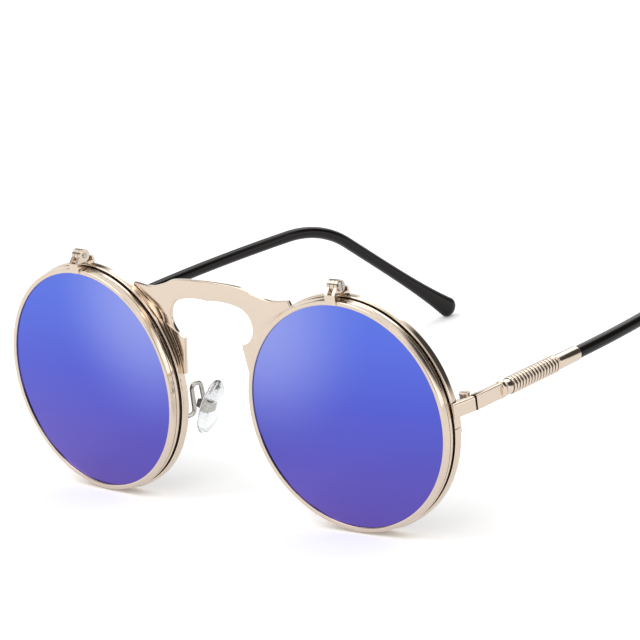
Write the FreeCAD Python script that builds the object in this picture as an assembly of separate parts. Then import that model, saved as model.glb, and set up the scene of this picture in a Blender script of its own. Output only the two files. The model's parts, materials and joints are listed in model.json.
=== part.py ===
import FreeCAD, Part
import math
import os

# Round flip-up sunglasses in metal: a base frame with clear lenses, and a mirrored pair on top hinges.
# All lengths are in millimetres and all angles in degrees.
# Sides are the wearer's. The left side (+X) is modelled and mirrored to make the right side.
# The design frame has X to the wearer's left, Y back along the temples and Z up, with the front upright
# and the eye centres at height zero. An eye frame has the same axes, with its origin at the eye centre
# in the flip rim's front plane, turned by the face wrap. A temple frame starts at the hinge split, in
# the middle of the bar, and runs back along Y.
# At the end the whole object leans forward until rims and tips share one table plane, and the origin
# moves to the middle of its footprint on that plane.

# Eyes, rims and lenses
FLIP_OPENING_R = 23.5
LENS_SPACING = 23.7
FACE_WRAP = 3.8
FLIP_LIP = 1.1
FLIP_RIM_DEPTH = 2.2
FLIP_BAND_DEPTH = 1.2
SIDE_GROOVE = 0.15
RIM_GAP = 0.5
BASE_RIM_OVERHANG = 0.4
BASE_RIM_WALL = 1.3
BASE_RIM_DEPTH = 1.9
RIM_EDGE_ROUND = 0.18
LENS_THICKNESS = 1.1
LENS_CURVE_R = 265.0
LENS_BITE = 0.5
LENS_SETBACK = 0.45
LENS_CLEARANCE = 0.08

# Bridge plate. The points of its outline are pairs of shares: across from the middle of the nose to the
# base rim at that height, and up from the eye centre to the top of the base rim.
PLATE_THICKNESS = 1.0
PLATE_SETBACK = 0.85
PLATE_BEND_R = 60.0
BROW_TOP_SHARES = (0.0, 0.99)
BROW_SHOULDER_SHARES = (0.2957, 0.968)
BROW_SLOPE_SHARES = (0.4898, 0.916)
BROW_VALLEY_SHARES = (0.7042, 0.876)
BROW_TIP_SHARES = (0.893, 0.888)
ARCH_TOP_SHARES = (0.0, 0.822)
ARCH_CORNER_SHARES = (0.385, 0.8)
ARCH_SIDE_SHARES = (0.715, 0.624)
ARCH_BARB_SHARES = (0.5987, 0.464)
PRONG_TIP_SHARES = (0.8669, 0.144)
ARCH_BULGE_SHARE = 0.35

# End piece and the flat bar of the temple
END_CORNER_OUT = 0.5
SPLIT_OUT = 0.9
END_LENGTH = 5.5
END_LIP = 0.2
END_ROOT_WIDTH = 1.5
END_ROOT_DEPTH = 0.8
END_ROUND = 0.5
TEMPLE_Z = 2.85
BAR_HEIGHT = 3.1
BAR_THICKNESS = 1.6
BAR_ROUND = 0.25
SPLIT_GAP = 0.55

# Temple hinge
HINGE_INSET = 2.85
HINGE_HEIGHT = 3.2
KNUCKLE_R = 1.1
MIDDLE_KNUCKLE = 1.3
KNUCKLE_GAP = 0.08
KNUCKLE_CLEARANCE = 0.12
LEAF_THICKNESS = 0.5
LEAF_LENGTH = 2.6
LEAF_HEIGHT = 2.7
HINGE_PIN_R = 0.5
PIN_RUNNING_FIT = 0.05
PIN_TIGHT_FIT = 0.02
SCREW_HEAD_R = 1.2
SCREW_HEAD_HEIGHT = 0.35
SCREW_SLOT_WIDTH = 0.3
SCREW_SLOT_DEPTH = 0.2

# Closing block behind the slit of the base rim
LOCK_SLIT = 0.15
LOCK_SLIT_Z = -1.0
LOCK_WIDTH = 1.5
LOCK_DEPTH = 1.2
LOCK_HALF_HEIGHT = 1.6
LOCK_EDGE_MARGIN = 0.9
LOCK_PIN_R = 0.32
LOCK_HEAD_R = 0.5
LOCK_HEAD_HEIGHT = 0.4

# Top hinge of the flip lens
FLIP_AXIS_Y = 2.2
FLIP_AXIS_RISE = 2.0
FLIP_BARREL_R = 1.35
FLIP_BARREL_LENGTH = 2.5
FLIP_MIDDLE_KNUCKLE = 0.9
FLIP_KNUCKLE_GAP = 0.1
FLIP_TAB_WIDTH = 2.6
FLIP_TAB_DROP = 0.95
FLIP_TAB_RISE = 1.1
FLIP_TAB_PROUD = 0.25
FLIP_STRAP = 1.0
FLIP_FOOT_WIDTH = 3.0
FLIP_FOOT_HEIGHT = 0.6
FLIP_PLATE_HEIGHT = 1.5
FLIP_PLATE_THICKNESS = 0.55
FLIP_PLATE_SLANT = 0.2
FLIP_PIN_R = 0.55
FLIP_HEAD_R = 1.05
FLIP_HEAD_HEIGHT = 0.35
FLIP_PIN_END = 0.2
FLIP_SLOT_WIDTH = 0.3
FLIP_SLOT_DEPTH = 0.25

# Nose pad, its metal box and the wire arm
PAD_PAST_RIM = 0.45
PAD_BEHIND_RIM = 4.2
PAD_Z = -5.9
PAD_HEIGHT = 13.0
PAD_WIDTH = 7.4
PAD_THICKNESS = 2.8
PAD_ROUND = 1.1
PAD_FLARE = 24.0
PAD_TURN = 8.0
BOX_WIDTH = 2.2
BOX_HEIGHT = 2.0
BOX_DEPTH = 2.2
BOX_WALL = 0.5
BOX_SINK = 0.7
EYELET_CLEARANCE = 0.1
ARM_WIRE_R = 0.5
ARM_BEND_R = 1.1
ARM_FOOT_Z = -6.5
ARM_FOOT_BITE = 0.7
ARM_REACH = 2.6
ARM_TOP_Z = -0.3
ARM_LOOP_WIDTH = 2.6
PAD_PIN_R = 0.3
PAD_HEAD_R = 0.55
PAD_HEAD_HEIGHT = 0.3

# Temple: distances from the hinge split along its axis
TEMPLE_SPLAY = 1.55
RIB_START = 8.0
RIB_LENGTH = 1.4
RIB_HEIGHT = 3.7
RIB_THICKNESS = 2.7
COLLAR_END = 11.0
COLLAR_R = 1.6
CORE_R = 1.12
SPRING_END = 25.9
SPRING_OUTER_R = 1.83
SPRING_WIRE = 0.52
SPRING_TURNS = 15
SPRING_END_GAP = 0.05
SPRING_MIN_GAP = 0.4
FERRULE_END = 32.75
FERRULE_R = 1.6
FERRULE_FIT = 0.02
FERRULE_SLIT = 0.2
TIP_TUBE_R = 1.35
BOW_LENGTH = 48.8
TIP_BOW = 11.4
BEND_R = 27.6
BEND_DROP = 39.7
DROP_LENGTH = 51.5
TIP_TOE_OUT = 5.5
PADDLE_HEIGHT = 4.8
PADDLE_THICKNESS = 2.9
CORE_WIRE_R = 0.7
CORE_WIRE_FIT = 0.02
CORE_WIRE_STOP = 14.0
PADDLE_CAP = 2.4
PADDLE_STEPS = 10
PADDLE_GROWTH_POWER = 4
CAP_STEPS = 6
CAP_END_SHARE = 0.93

# General
OVERRUN = 1.0
MATCH_TOLERANCE = 0.001
LEAN_LIMIT = 20.0
LEAN_STEPS = 24
GAP_SAMPLES_PER_TURN = 48
QUARTERS = 4

# Sizes that follow from the ones above
EYE_X = FLIP_OPENING_R + LENS_SPACING / 2
FLIP_RIM_R = FLIP_OPENING_R + FLIP_LIP
BASE_RIM_R = FLIP_RIM_R + BASE_RIM_OVERHANG
FLIP_AXIS_Z = BASE_RIM_R + FLIP_AXIS_RISE
BASE_FRONT_Y = FLIP_RIM_DEPTH + RIM_GAP
BASE_BACK_Y = BASE_FRONT_Y + BASE_RIM_DEPTH
BASE_OPENING_R = BASE_RIM_R - BASE_RIM_WALL
BASE_LENS_Y = BASE_FRONT_Y + (BASE_RIM_DEPTH - LENS_THICKNESS) / 2
PLATE_FRONT_Y = BASE_FRONT_Y + PLATE_SETBACK
WRAP_SIN = math.sin(math.radians(FACE_WRAP))
WRAP_COS = math.cos(math.radians(FACE_WRAP))
END_FRONT_Y = BASE_FRONT_Y * WRAP_COS + BASE_RIM_R * WRAP_SIN
END_CORNER_X = EYE_X + BASE_RIM_R * WRAP_COS - BASE_FRONT_Y * WRAP_SIN + END_CORNER_OUT
SPLIT_X = END_CORNER_X + SPLIT_OUT
SPLIT_Y = END_FRONT_Y + END_LENGTH
HINGE_X = SPLIT_X - HINGE_INSET
PAD_X = EYE_X - BASE_RIM_R - PAD_PAST_RIM
PAD_Y = BASE_BACK_Y + PAD_BEHIND_RIM
OUTER_KNUCKLE = (HINGE_HEIGHT - MIDDLE_KNUCKLE) / 2 - KNUCKLE_GAP
SPRING_COIL_R = SPRING_OUTER_R - SPRING_WIRE / 2
SPRING_START = COLLAR_END + SPRING_WIRE / 2 + SPRING_END_GAP
SPRING_STOP = SPRING_END - SPRING_WIRE / 2 - SPRING_END_GAP
SPRING_PITCH = (SPRING_STOP - SPRING_START) / SPRING_TURNS

V = FreeCAD.Vector
ORIGIN = V(0, 0, 0)
AXIS_X = V(1, 0, 0)
AXIS_Y = V(0, 1, 0)
AXIS_Z = V(0, 0, 1)
FULL_TURN = 360.0
HALF_TURN = 180.0
QUARTER_TURN = 90.0


# Plain shapes

def box(low, high):
    return Part.makeBox(high[0] - low[0], high[1] - low[1], high[2] - low[2], V(*low))


def rod(radius, start, end):
    run = end - start
    return Part.makeCylinder(radius, run.Length, start, run)


def prism(points, run):
    corners = points + points[:1]
    return Part.Face(Part.makePolygon(corners)).extrude(run)


def oval(width, height, run, centre):
    # Upright ellipse in the XZ plane, taller than it is wide
    wire = Part.Wire(Part.Ellipse(ORIGIN, height / 2, width / 2).toShape())
    wire.rotate(ORIGIN, AXIS_X, QUARTER_TURN)
    wire.rotate(ORIGIN, AXIS_Y, QUARTER_TURN)
    wire.translate(centre)
    return wire if run is None else Part.Face(wire).extrude(run)


def turned(points):
    outline = [V(radius, y, 0) for radius, y in points]
    return Part.Face(Part.makePolygon(outline + outline[:1])).revolve(ORIGIN, AXIS_Y, FULL_TURN)


def round_edges(shape, radius, wanted):
    return shape.makeFillet(radius, [edge for edge in shape.Edges if wanted(edge)])


def is_circle(edge, radius):
    return isinstance(edge.Curve, Part.Circle) and abs(edge.Curve.Radius - radius) < MATCH_TOLERANCE


def is_along(edge, axis):
    if not isinstance(edge.Curve, Part.Line):
        return False
    return abs(abs(edge.tangentAt(edge.FirstParameter).dot(axis)) - 1) < MATCH_TOLERANCE


def one_solid(shape):
    clean = shape.removeSplitter()
    return clean.Solids[0] if len(clean.Solids) == 1 else clean


def slotted_screw(pin_r, pin_length, head_r, head_height, slot_width, slot_depth):
    # The head's underside is at height zero, with the pin below it.
    pin = Part.makeCylinder(pin_r, pin_length, V(0, 0, -pin_length))
    head = Part.makeCylinder(head_r, head_height)
    slot = box((-head_r, -slot_width / 2, head_height - slot_depth), (head_r, slot_width / 2, head_height))
    return one_solid(head.fuse(pin).cut(slot))


# Frames

def from_eye(shape):
    placed = shape.copy()
    placed.rotate(ORIGIN, AXIS_Z, FACE_WRAP)
    placed.translate(V(EYE_X, 0, 0))
    return placed


def eye_point(point):
    x = EYE_X + point.x * WRAP_COS - point.y * WRAP_SIN
    return V(x, point.x * WRAP_SIN + point.y * WRAP_COS, point.z)


def from_temple(shape):
    placed = shape.copy()
    placed.translate(V(SPLIT_X - BAR_THICKNESS / 2, SPLIT_Y, TEMPLE_Z))
    placed.rotate(V(HINGE_X, SPLIT_Y, TEMPLE_Z), AXIS_Z, -TEMPLE_SPLAY)
    return placed


def mirrored(shape):
    return shape.mirror(ORIGIN, AXIS_X)


# Rims and lenses, in the eye frame

def rim_points(opening_r, outer_r, front_y, back_y, lens_y):
    groove_r = opening_r + LENS_BITE + LENS_CLEARANCE
    groove_front = lens_y - LENS_CLEARANCE
    groove_back = lens_y + LENS_THICKNESS + LENS_CLEARANCE
    outer = [(outer_r, front_y), (outer_r, back_y)]
    inner = [(opening_r, back_y), (opening_r, groove_back), (groove_r, groove_back)]
    return outer, inner + [(groove_r, groove_front), (opening_r, groove_front), (opening_r, front_y)]


def flip_rim():
    outer, inner = rim_points(FLIP_OPENING_R, FLIP_RIM_R, 0, FLIP_RIM_DEPTH, LENS_SETBACK)
    groove_r = FLIP_RIM_R - SIDE_GROOVE
    groove_end = FLIP_BAND_DEPTH + SIDE_GROOVE
    groove = [(FLIP_RIM_R, FLIP_BAND_DEPTH), (groove_r, FLIP_BAND_DEPTH)]
    groove = groove + [(groove_r, groove_end), (FLIP_RIM_R, groove_end)]
    ring = turned(outer[:1] + groove + outer[1:] + inner)
    ends = (0, FLIP_RIM_DEPTH)

    def at_an_end(edge):
        height = edge.Curve.Center.y if isinstance(edge.Curve, Part.Circle) else -OVERRUN
        return is_circle(edge, FLIP_RIM_R) and min(abs(height - end) for end in ends) < MATCH_TOLERANCE

    return round_edges(ring, RIM_EDGE_ROUND, at_an_end)


def base_rim():
    outer, inner = rim_points(BASE_OPENING_R, BASE_RIM_R, BASE_FRONT_Y, BASE_BACK_Y, BASE_LENS_Y)
    ring = round_edges(turned(outer + inner), RIM_EDGE_ROUND, lambda edge: is_circle(edge, BASE_RIM_R))
    slit_low = (0, BASE_FRONT_Y - OVERRUN, LOCK_SLIT_Z - LOCK_SLIT / 2)
    slit_high = (BASE_RIM_R + OVERRUN, BASE_BACK_Y + OVERRUN, LOCK_SLIT_Z + LOCK_SLIT / 2)
    return ring.cut(box(slit_low, slit_high))


def base_rim_envelope():
    front = V(0, BASE_FRONT_Y - OVERRUN, 0)
    return rod(BASE_RIM_R, front, V(0, BASE_BACK_Y, 0))


def dome(radius):
    return LENS_CURVE_R - math.sqrt(LENS_CURVE_R ** 2 - radius ** 2)


def lens(radius, edge_y):
    def surface(front_y):
        places = [(r, front_y - dome(radius) + dome(r)) for r in (0, radius / 2, radius)]
        return [V(r, y, 0) for r, y in places]

    front = surface(edge_y)
    back = surface(edge_y + LENS_THICKNESS)
    edges = [Part.Arc(*front), Part.LineSegment(front[2], back[2]), Part.Arc(*back)]
    edges = edges + [Part.LineSegment(back[0], front[0])]
    outline = Part.Wire(Part.__sortEdges__([edge.toShape() for edge in edges]))
    return Part.Face(outline).revolve(ORIGIN, AXIS_Y, FULL_TURN)


# Top hinge of the flip lens, in the eye frame

def flip_knuckle(start_x, end_x, bore_r):
    start = V(start_x, FLIP_AXIS_Y, FLIP_AXIS_Z)
    end = V(end_x, FLIP_AXIS_Y, FLIP_AXIS_Z)
    return rod(FLIP_BARREL_R, start, end), rod(bore_r, start, end)


def flip_leaf():
    # A tab soldered to the top of the rim, and two slanted straps from it to the outer knuckles
    half_tab = FLIP_TAB_WIDTH / 2
    top_z = FLIP_RIM_R + FLIP_TAB_RISE
    back_y = FLIP_STRAP - FLIP_TAB_PROUD
    body = box((-half_tab, -FLIP_TAB_PROUD, FLIP_RIM_R - FLIP_TAB_DROP), (half_tab, back_y, top_z))
    inner = FLIP_MIDDLE_KNUCKLE / 2 + FLIP_KNUCKLE_GAP
    outer = FLIP_BARREL_LENGTH / 2
    strap = [(-FLIP_TAB_PROUD, FLIP_RIM_R), (-FLIP_TAB_PROUD, top_z)]
    strap = strap + [(FLIP_AXIS_Y - FLIP_BARREL_R, FLIP_AXIS_Z), (FLIP_AXIS_Y, FLIP_AXIS_Z)]
    strap = strap + [(FLIP_AXIS_Y, FLIP_AXIS_Z - FLIP_BARREL_R)]
    strap = strap + [(back_y, top_z), (back_y, FLIP_RIM_R)]
    for start, end in ((-outer, -inner), (inner, outer)):
        ear = prism([V(start, y, z) for y, z in strap], V(end - start, 0, 0))
        knuckle, bore = flip_knuckle(start, end, FLIP_PIN_R + PIN_TIGHT_FIT)
        body = body.fuse(ear).fuse(knuckle).cut(bore)
    ring = rod(FLIP_RIM_R, ORIGIN, V(0, FLIP_RIM_DEPTH + OVERRUN, 0))
    sweep_start = V(-inner, FLIP_AXIS_Y, FLIP_AXIS_Z)
    sweep = rod(FLIP_BARREL_R + KNUCKLE_CLEARANCE, sweep_start, V(inner, FLIP_AXIS_Y, FLIP_AXIS_Z))
    return one_solid(body.cut(ring).cut(sweep))


def flip_bracket():
    # A foot on the base rim, a slanted plate behind it and a web to the middle knuckle
    half_foot = FLIP_FOOT_WIDTH / 2
    foot_top = BASE_RIM_R + FLIP_FOOT_HEIGHT
    plate_y = BASE_BACK_Y - FLIP_PLATE_THICKNESS
    plate_top = BASE_RIM_R + FLIP_PLATE_HEIGHT
    foot_low = BASE_RIM_R - FLIP_FOOT_HEIGHT
    foot = box((-half_foot, BASE_FRONT_Y, foot_low), (half_foot, BASE_BACK_Y, foot_top))
    plate = [(plate_y, BASE_RIM_R), (BASE_BACK_Y, BASE_RIM_R), (BASE_BACK_Y - FLIP_PLATE_SLANT, plate_top)]
    plate = plate + [(plate_y - FLIP_PLATE_SLANT, plate_top)]
    web = [(BASE_FRONT_Y, BASE_RIM_R), (BASE_BACK_Y, BASE_RIM_R)]
    web = web + [(BASE_BACK_Y - FLIP_PLATE_SLANT, plate_top)]
    web = web + [(FLIP_AXIS_Y + FLIP_BARREL_R, FLIP_AXIS_Z), (FLIP_AXIS_Y, FLIP_AXIS_Z)]
    web = web + [(FLIP_AXIS_Y, FLIP_AXIS_Z - FLIP_BARREL_R)]
    half = FLIP_MIDDLE_KNUCKLE / 2
    body = foot.fuse(prism([V(-half_foot, y, z) for y, z in plate], V(FLIP_FOOT_WIDTH, 0, 0)))
    body = body.fuse(prism([V(-half, y, z) for y, z in web], V(FLIP_MIDDLE_KNUCKLE, 0, 0)))
    knuckle, bore = flip_knuckle(-half, half, FLIP_PIN_R + PIN_RUNNING_FIT)
    return one_solid(body.fuse(knuckle).cut(bore).cut(base_rim_envelope()))


def flip_screw():
    length = FLIP_BARREL_LENGTH + FLIP_PIN_END
    sizes = (FLIP_PIN_R, length, FLIP_HEAD_R, FLIP_HEAD_HEIGHT, FLIP_SLOT_WIDTH, FLIP_SLOT_DEPTH)
    screw = slotted_screw(*sizes)
    screw.rotate(ORIGIN, AXIS_Y, QUARTER_TURN)
    screw.translate(V(FLIP_BARREL_LENGTH / 2, FLIP_AXIS_Y, FLIP_AXIS_Z))
    return screw


# Closing block of the base rim, in the eye frame

def lock_centre():
    return V(BASE_RIM_R - LOCK_EDGE_MARGIN - LOCK_WIDTH / 2, BASE_BACK_Y + LOCK_DEPTH / 2, LOCK_SLIT_Z)


def rim_lock(direction):
    centre = lock_centre()
    near = LOCK_SLIT_Z + direction * LOCK_SLIT / 2
    far = near + direction * LOCK_HALF_HEIGHT
    low = (centre.x - LOCK_WIDTH / 2, BASE_BACK_Y, min(near, far))
    high = (centre.x + LOCK_WIDTH / 2, BASE_BACK_Y + LOCK_DEPTH, max(near, far))
    bore = rod(LOCK_PIN_R + PIN_TIGHT_FIT, V(centre.x, centre.y, low[2]), V(centre.x, centre.y, high[2]))
    return box(low, high).cut(bore)


def rim_lock_screw():
    length = LOCK_SLIT + 2 * LOCK_HALF_HEIGHT
    sizes = (LOCK_PIN_R, length, LOCK_HEAD_R, LOCK_HEAD_HEIGHT, SCREW_SLOT_WIDTH, SCREW_SLOT_DEPTH)
    screw = slotted_screw(*sizes)
    screw.rotate(ORIGIN, AXIS_X, HALF_TURN)
    screw.translate(lock_centre() - V(0, 0, length / 2))
    return screw


# Bridge plate, in the design frame

def bridge_sheet():
    crown_y = PLATE_FRONT_Y / WRAP_COS - EYE_X * WRAP_SIN / WRAP_COS
    centre_y = crown_y + PLATE_BEND_R / WRAP_COS
    reach = EYE_X

    def face_points(radius):
        bend_x = radius * WRAP_SIN
        bend_y = centre_y - radius * WRAP_COS
        wing_y = bend_y + (reach - bend_x) * WRAP_SIN / WRAP_COS
        return V(reach, wing_y, 0), V(bend_x, bend_y, 0), V(0, centre_y - radius, 0)

    def face_edges(radius):
        tip, bend, crown = face_points(radius)
        other_bend = V(-bend.x, bend.y, 0)
        other_tip = V(-tip.x, tip.y, 0)
        arc = Part.Arc(bend, crown, other_bend)
        return [Part.LineSegment(tip, bend), arc, Part.LineSegment(other_bend, other_tip)]

    front = face_points(PLATE_BEND_R)[0]
    back = face_points(PLATE_BEND_R - PLATE_THICKNESS)[0]
    other_side = Part.LineSegment(V(-front.x, front.y, 0), V(-back.x, back.y, 0))
    sides = [Part.LineSegment(front, back), other_side]
    edges = face_edges(PLATE_BEND_R) + face_edges(PLATE_BEND_R - PLATE_THICKNESS) + sides
    outline = Part.Wire(Part.__sortEdges__([edge.toShape() for edge in edges]))
    return Part.Face(outline).extrude(V(0, 0, BASE_RIM_R))


def outline_point(shares):
    across_share, height_share = shares
    height = height_share * BASE_RIM_R
    rim_x = EYE_X - math.sqrt(BASE_RIM_R ** 2 - height ** 2)
    return V(across_share * rim_x, 0, height)


def bowed(start, end, side):
    # Arc between two points, bowed to one side by a share of its chord
    chord = end - start
    middle = (start + end) / 2 + V(-chord.z, 0, chord.x) * side * ARCH_BULGE_SHARE / 2
    return Part.Arc(start, middle, end).toShape()


def bridge_plate():
    brow_shares = [BROW_TOP_SHARES, BROW_SHOULDER_SHARES, BROW_SLOPE_SHARES, BROW_VALLEY_SHARES]
    brow_points = [outline_point(shares) for shares in brow_shares + [BROW_TIP_SHARES]]
    brow_top = brow_points[0]
    brow_tip = brow_points[-1]
    brow = Part.BSplineCurve()
    brow.interpolate(brow_points, InitialTangent=AXIS_X, FinalTangent=brow_tip - brow_points[-2])
    corner = outline_point(ARCH_CORNER_SHARES)
    side = outline_point(ARCH_SIDE_SHARES)
    barb = outline_point(ARCH_BARB_SHARES)
    prong = outline_point(PRONG_TIP_SHARES)
    arch_top = outline_point(ARCH_TOP_SHARES)
    arch_mid = V(corner.x / 2, 0, arch_top.z)
    inside = [brow_tip, V(EYE_X, 0, 0), V(EYE_X - BASE_OPENING_R, 0, prong.z), prong, barb]
    edges = [brow.toShape()]
    edges = edges + [Part.LineSegment(a, b).toShape() for a, b in zip(inside, inside[1:])]
    edges = edges + [bowed(barb, side, -1), bowed(corner, side, 1)]
    edges = edges + [Part.Arc(corner, arch_mid, arch_top).toShape()]
    edges = edges + [Part.LineSegment(arch_top, brow_top).toShape()]
    half = Part.Face(Part.Wire(Part.__sortEdges__(edges))).extrude(V(0, 2 * BASE_BACK_Y, 0))
    half.translate(V(0, -BASE_BACK_Y, 0))
    envelope = from_eye(base_rim_envelope())
    half = bridge_sheet().common(half).cut(envelope)
    return one_solid(half.fuse(mirrored(half)))


# End piece and front leaf of the temple hinge, in the design frame

def end_piece():
    # Its front laps over the rim's front face by a thin lip.
    front_y = END_FRONT_Y - END_LIP
    back_y = BASE_BACK_Y * WRAP_COS + BASE_RIM_R * WRAP_SIN + END_ROOT_DEPTH
    inner_x = SPLIT_X - BAR_THICKNESS
    root_x = END_CORNER_X - END_ROOT_WIDTH
    end_y = SPLIT_Y - SPLIT_GAP / 2
    plan = [(END_CORNER_X, front_y), (SPLIT_X, end_y), (inner_x, end_y)]
    plan = plan + [(inner_x, back_y), (root_x, back_y), (root_x, front_y)]
    low_z = TEMPLE_Z - BAR_HEIGHT / 2
    block = prism([V(x, y, low_z) for x, y in plan], V(0, 0, BAR_HEIGHT))

    def outer_corner(edge):
        middle = edge.CenterOfMass
        outside = middle.x > inner_x and middle.y < end_y - MATCH_TOLERANCE
        return outside and not is_along(edge, AXIS_X)

    seat = rod(BASE_RIM_R, V(0, BASE_FRONT_Y, 0), V(0, BASE_BACK_Y, 0))
    return one_solid(round_edges(block, END_ROUND, outer_corner).cut(from_eye(seat)))


def knuckle_span(level):
    # Level -1 is the lower knuckle, 0 the middle one and 1 the upper one.
    half = OUTER_KNUCKLE / 2 if level else MIDDLE_KNUCKLE / 2
    centre = level * (HINGE_HEIGHT - OUTER_KNUCKLE) / 2
    return centre - half, centre + half


def hinge_leaf(direction, levels, bore_fit):
    # In the temple frame: direction 1 runs back along the temple and -1 forward along the end piece.
    axis_x = BAR_THICKNESS / 2 - HINGE_INSET
    wall_x = -BAR_THICKNESS / 2
    near = direction * SPLIT_GAP / 2
    far = direction * LEAF_LENGTH
    low = (wall_x - LEAF_THICKNESS, min(near, far), -LEAF_HEIGHT / 2)
    body = box(low, (wall_x, max(near, far), LEAF_HEIGHT / 2))
    for level in (-1, 0, 1):
        start_z, end_z = knuckle_span(level)
        start = V(axis_x, 0, start_z)
        end = V(axis_x, 0, end_z)
        if level in levels:
            side = direction * KNUCKLE_R
            web = box((axis_x, min(near, side), start_z), (wall_x, max(near, side), end_z))
            bore = rod(HINGE_PIN_R + bore_fit, start, end)
            body = body.fuse(rod(KNUCKLE_R, start, end)).fuse(web).cut(bore)
        else:
            spare = V(0, 0, KNUCKLE_GAP)
            body = body.cut(rod(KNUCKLE_R + KNUCKLE_CLEARANCE, start - spare, end + spare))
    return one_solid(body)


def front_hinge():
    leaf = hinge_leaf(-1, (-1, 1), PIN_TIGHT_FIT)
    leaf.translate(V(SPLIT_X - BAR_THICKNESS / 2, SPLIT_Y, TEMPLE_Z))
    return one_solid(leaf.cut(end_piece()))


def temple_screw():
    sizes = (HINGE_PIN_R, HINGE_HEIGHT, SCREW_HEAD_R, SCREW_HEAD_HEIGHT, SCREW_SLOT_WIDTH, SCREW_SLOT_DEPTH)
    screw = slotted_screw(*sizes)
    screw.translate(V(HINGE_X, SPLIT_Y, TEMPLE_Z + HINGE_HEIGHT / 2))
    return screw


# Wires bent from straight runs and tangent arcs

def bent_wire(points, bend_r):
    edges = []
    last = points[0]
    for before, corner, after in zip(points, points[1:], points[2:]):
        to_start = (before - corner).normalize()
        to_end = (after - corner).normalize()
        half_angle = to_start.getAngle(to_end) / 2
        trim = bend_r / math.tan(half_angle)
        bisector = (to_start + to_end).normalize()
        start = corner + to_start * trim
        end = corner + to_end * trim
        middle = corner + bisector * (bend_r / math.sin(half_angle) - bend_r)
        edges = edges + [Part.LineSegment(last, start).toShape(), Part.Arc(start, middle, end).toShape()]
        last = end
    edges.append(Part.LineSegment(last, points[-1]).toShape())
    return Part.Wire(edges)


def tube_along(path, radius):
    start = path.Edges[0]
    origin = start.valueAt(start.FirstParameter)
    ring = Part.Wire(Part.Circle(origin, start.tangentAt(start.FirstParameter), radius).toShape())
    return Part.Wire(path.Edges).makePipeShell([ring], True, False)


# Nose pad, box and arm, in the design frame

def from_pad(shape):
    # In the pad frame X points away from the nose, Y back and Z up, with the pad's middle at the origin.
    placed = shape.copy()
    placed.rotate(ORIGIN, AXIS_Y, -PAD_FLARE)
    placed.rotate(ORIGIN, AXIS_Z, -PAD_TURN)
    placed.translate(V(PAD_X, PAD_Y, PAD_Z))
    return placed


def nose_pad():
    half = PAD_THICKNESS / 2
    pad = oval(PAD_WIDTH, PAD_HEIGHT, V(0, PAD_THICKNESS, 0), V(0, -half, 0))
    pad = pad.makeFillet(PAD_ROUND, [edge for edge in pad.Edges if isinstance(edge.Curve, Part.Ellipse)])
    pad.rotate(ORIGIN, AXIS_Z, -QUARTER_TURN)
    pocket = box((half - BOX_SINK, -BOX_WIDTH / 2, -BOX_HEIGHT / 2), (half, BOX_WIDTH / 2, BOX_HEIGHT / 2))
    return from_pad(one_solid(pad.cut(pocket)))


def pad_box():
    floor_x = PAD_THICKNESS / 2 - BOX_SINK
    half = BOX_WIDTH / 2
    outer = box((floor_x, -half, -BOX_HEIGHT / 2), (floor_x + BOX_DEPTH, half, BOX_HEIGHT / 2))
    slot_half = half - BOX_WALL
    slot_end = floor_x + BOX_DEPTH + OVERRUN
    slot = box((floor_x + BOX_WALL, -slot_half, -BOX_HEIGHT), (slot_end, slot_half, BOX_HEIGHT))
    pin = pad_pin_axis()
    bore = rod(PAD_PIN_R + PIN_TIGHT_FIT, pin - AXIS_Y * BOX_WIDTH, pin + AXIS_Y * BOX_WIDTH)
    return from_pad(one_solid(outer.cut(slot).cut(bore)))


def pad_pin_axis():
    # Middle of the eyelet between the box's cheeks, in the pad frame
    return V(PAD_THICKNESS / 2 - BOX_SINK + (BOX_WALL + BOX_DEPTH) / 2, 0, 0)


def pad_screw():
    sizes = (PAD_PIN_R, BOX_WIDTH, PAD_HEAD_R, PAD_HEAD_HEIGHT, SCREW_SLOT_WIDTH, PAD_HEAD_HEIGHT / 2)
    screw = slotted_screw(*sizes)
    screw.rotate(ORIGIN, AXIS_X, -QUARTER_TURN)
    screw.translate(pad_pin_axis() + V(0, BOX_WIDTH / 2, 0))
    return from_pad(screw)


def pad_arm():
    eyelet_frame = FreeCAD.Placement(V(PAD_X, PAD_Y, PAD_Z), FreeCAD.Rotation(AXIS_Z, -PAD_TURN))
    eyelet_frame = eyelet_frame.multiply(FreeCAD.Placement(ORIGIN, FreeCAD.Rotation(AXIS_Y, -PAD_FLARE)))
    slot_half = BOX_WIDTH / 2 - BOX_WALL - EYELET_CLEARANCE
    eyelet_r = (BOX_DEPTH - BOX_WALL) / 2 - EYELET_CLEARANCE
    pin = pad_pin_axis()
    eyelet = rod(eyelet_r, pin - AXIS_Y * slot_half, pin + AXIS_Y * slot_half)
    eyelet = eyelet.cut(rod(PAD_PIN_R + PIN_TIGHT_FIT, pin - AXIS_Y * BOX_WIDTH, pin + AXIS_Y * BOX_WIDTH))
    eyelet = from_pad(eyelet)
    rim_r = BASE_RIM_R - ARM_FOOT_BITE
    foot = eye_point(V(-math.sqrt(rim_r ** 2 - ARM_FOOT_Z ** 2), BASE_BACK_Y, ARM_FOOT_Z))
    knee = foot + V(0, ARM_REACH, 0)
    rise = V(knee.x, knee.y, ARM_TOP_Z)
    end = eyelet_frame.multVec(pin + V(0, 0, eyelet_r))
    over = V(end.x, knee.y + ARM_LOOP_WIDTH, ARM_TOP_Z)
    wire = tube_along(bent_wire([foot, knee, rise, over, end], ARM_BEND_R), ARM_WIRE_R)
    return one_solid(wire.fuse(eyelet).cut(from_eye(base_rim_envelope())))


# Temple, in the temple frame. Its tip bows inward in plan, then bends down behind the ear.

BOW_R = BOW_LENGTH / math.radians(TIP_BOW)


def bow_point(angle):
    turn = math.radians(angle)
    return V(BOW_R * math.cos(turn) - BOW_R, FERRULE_END + BOW_R * math.sin(turn), 0)


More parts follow.
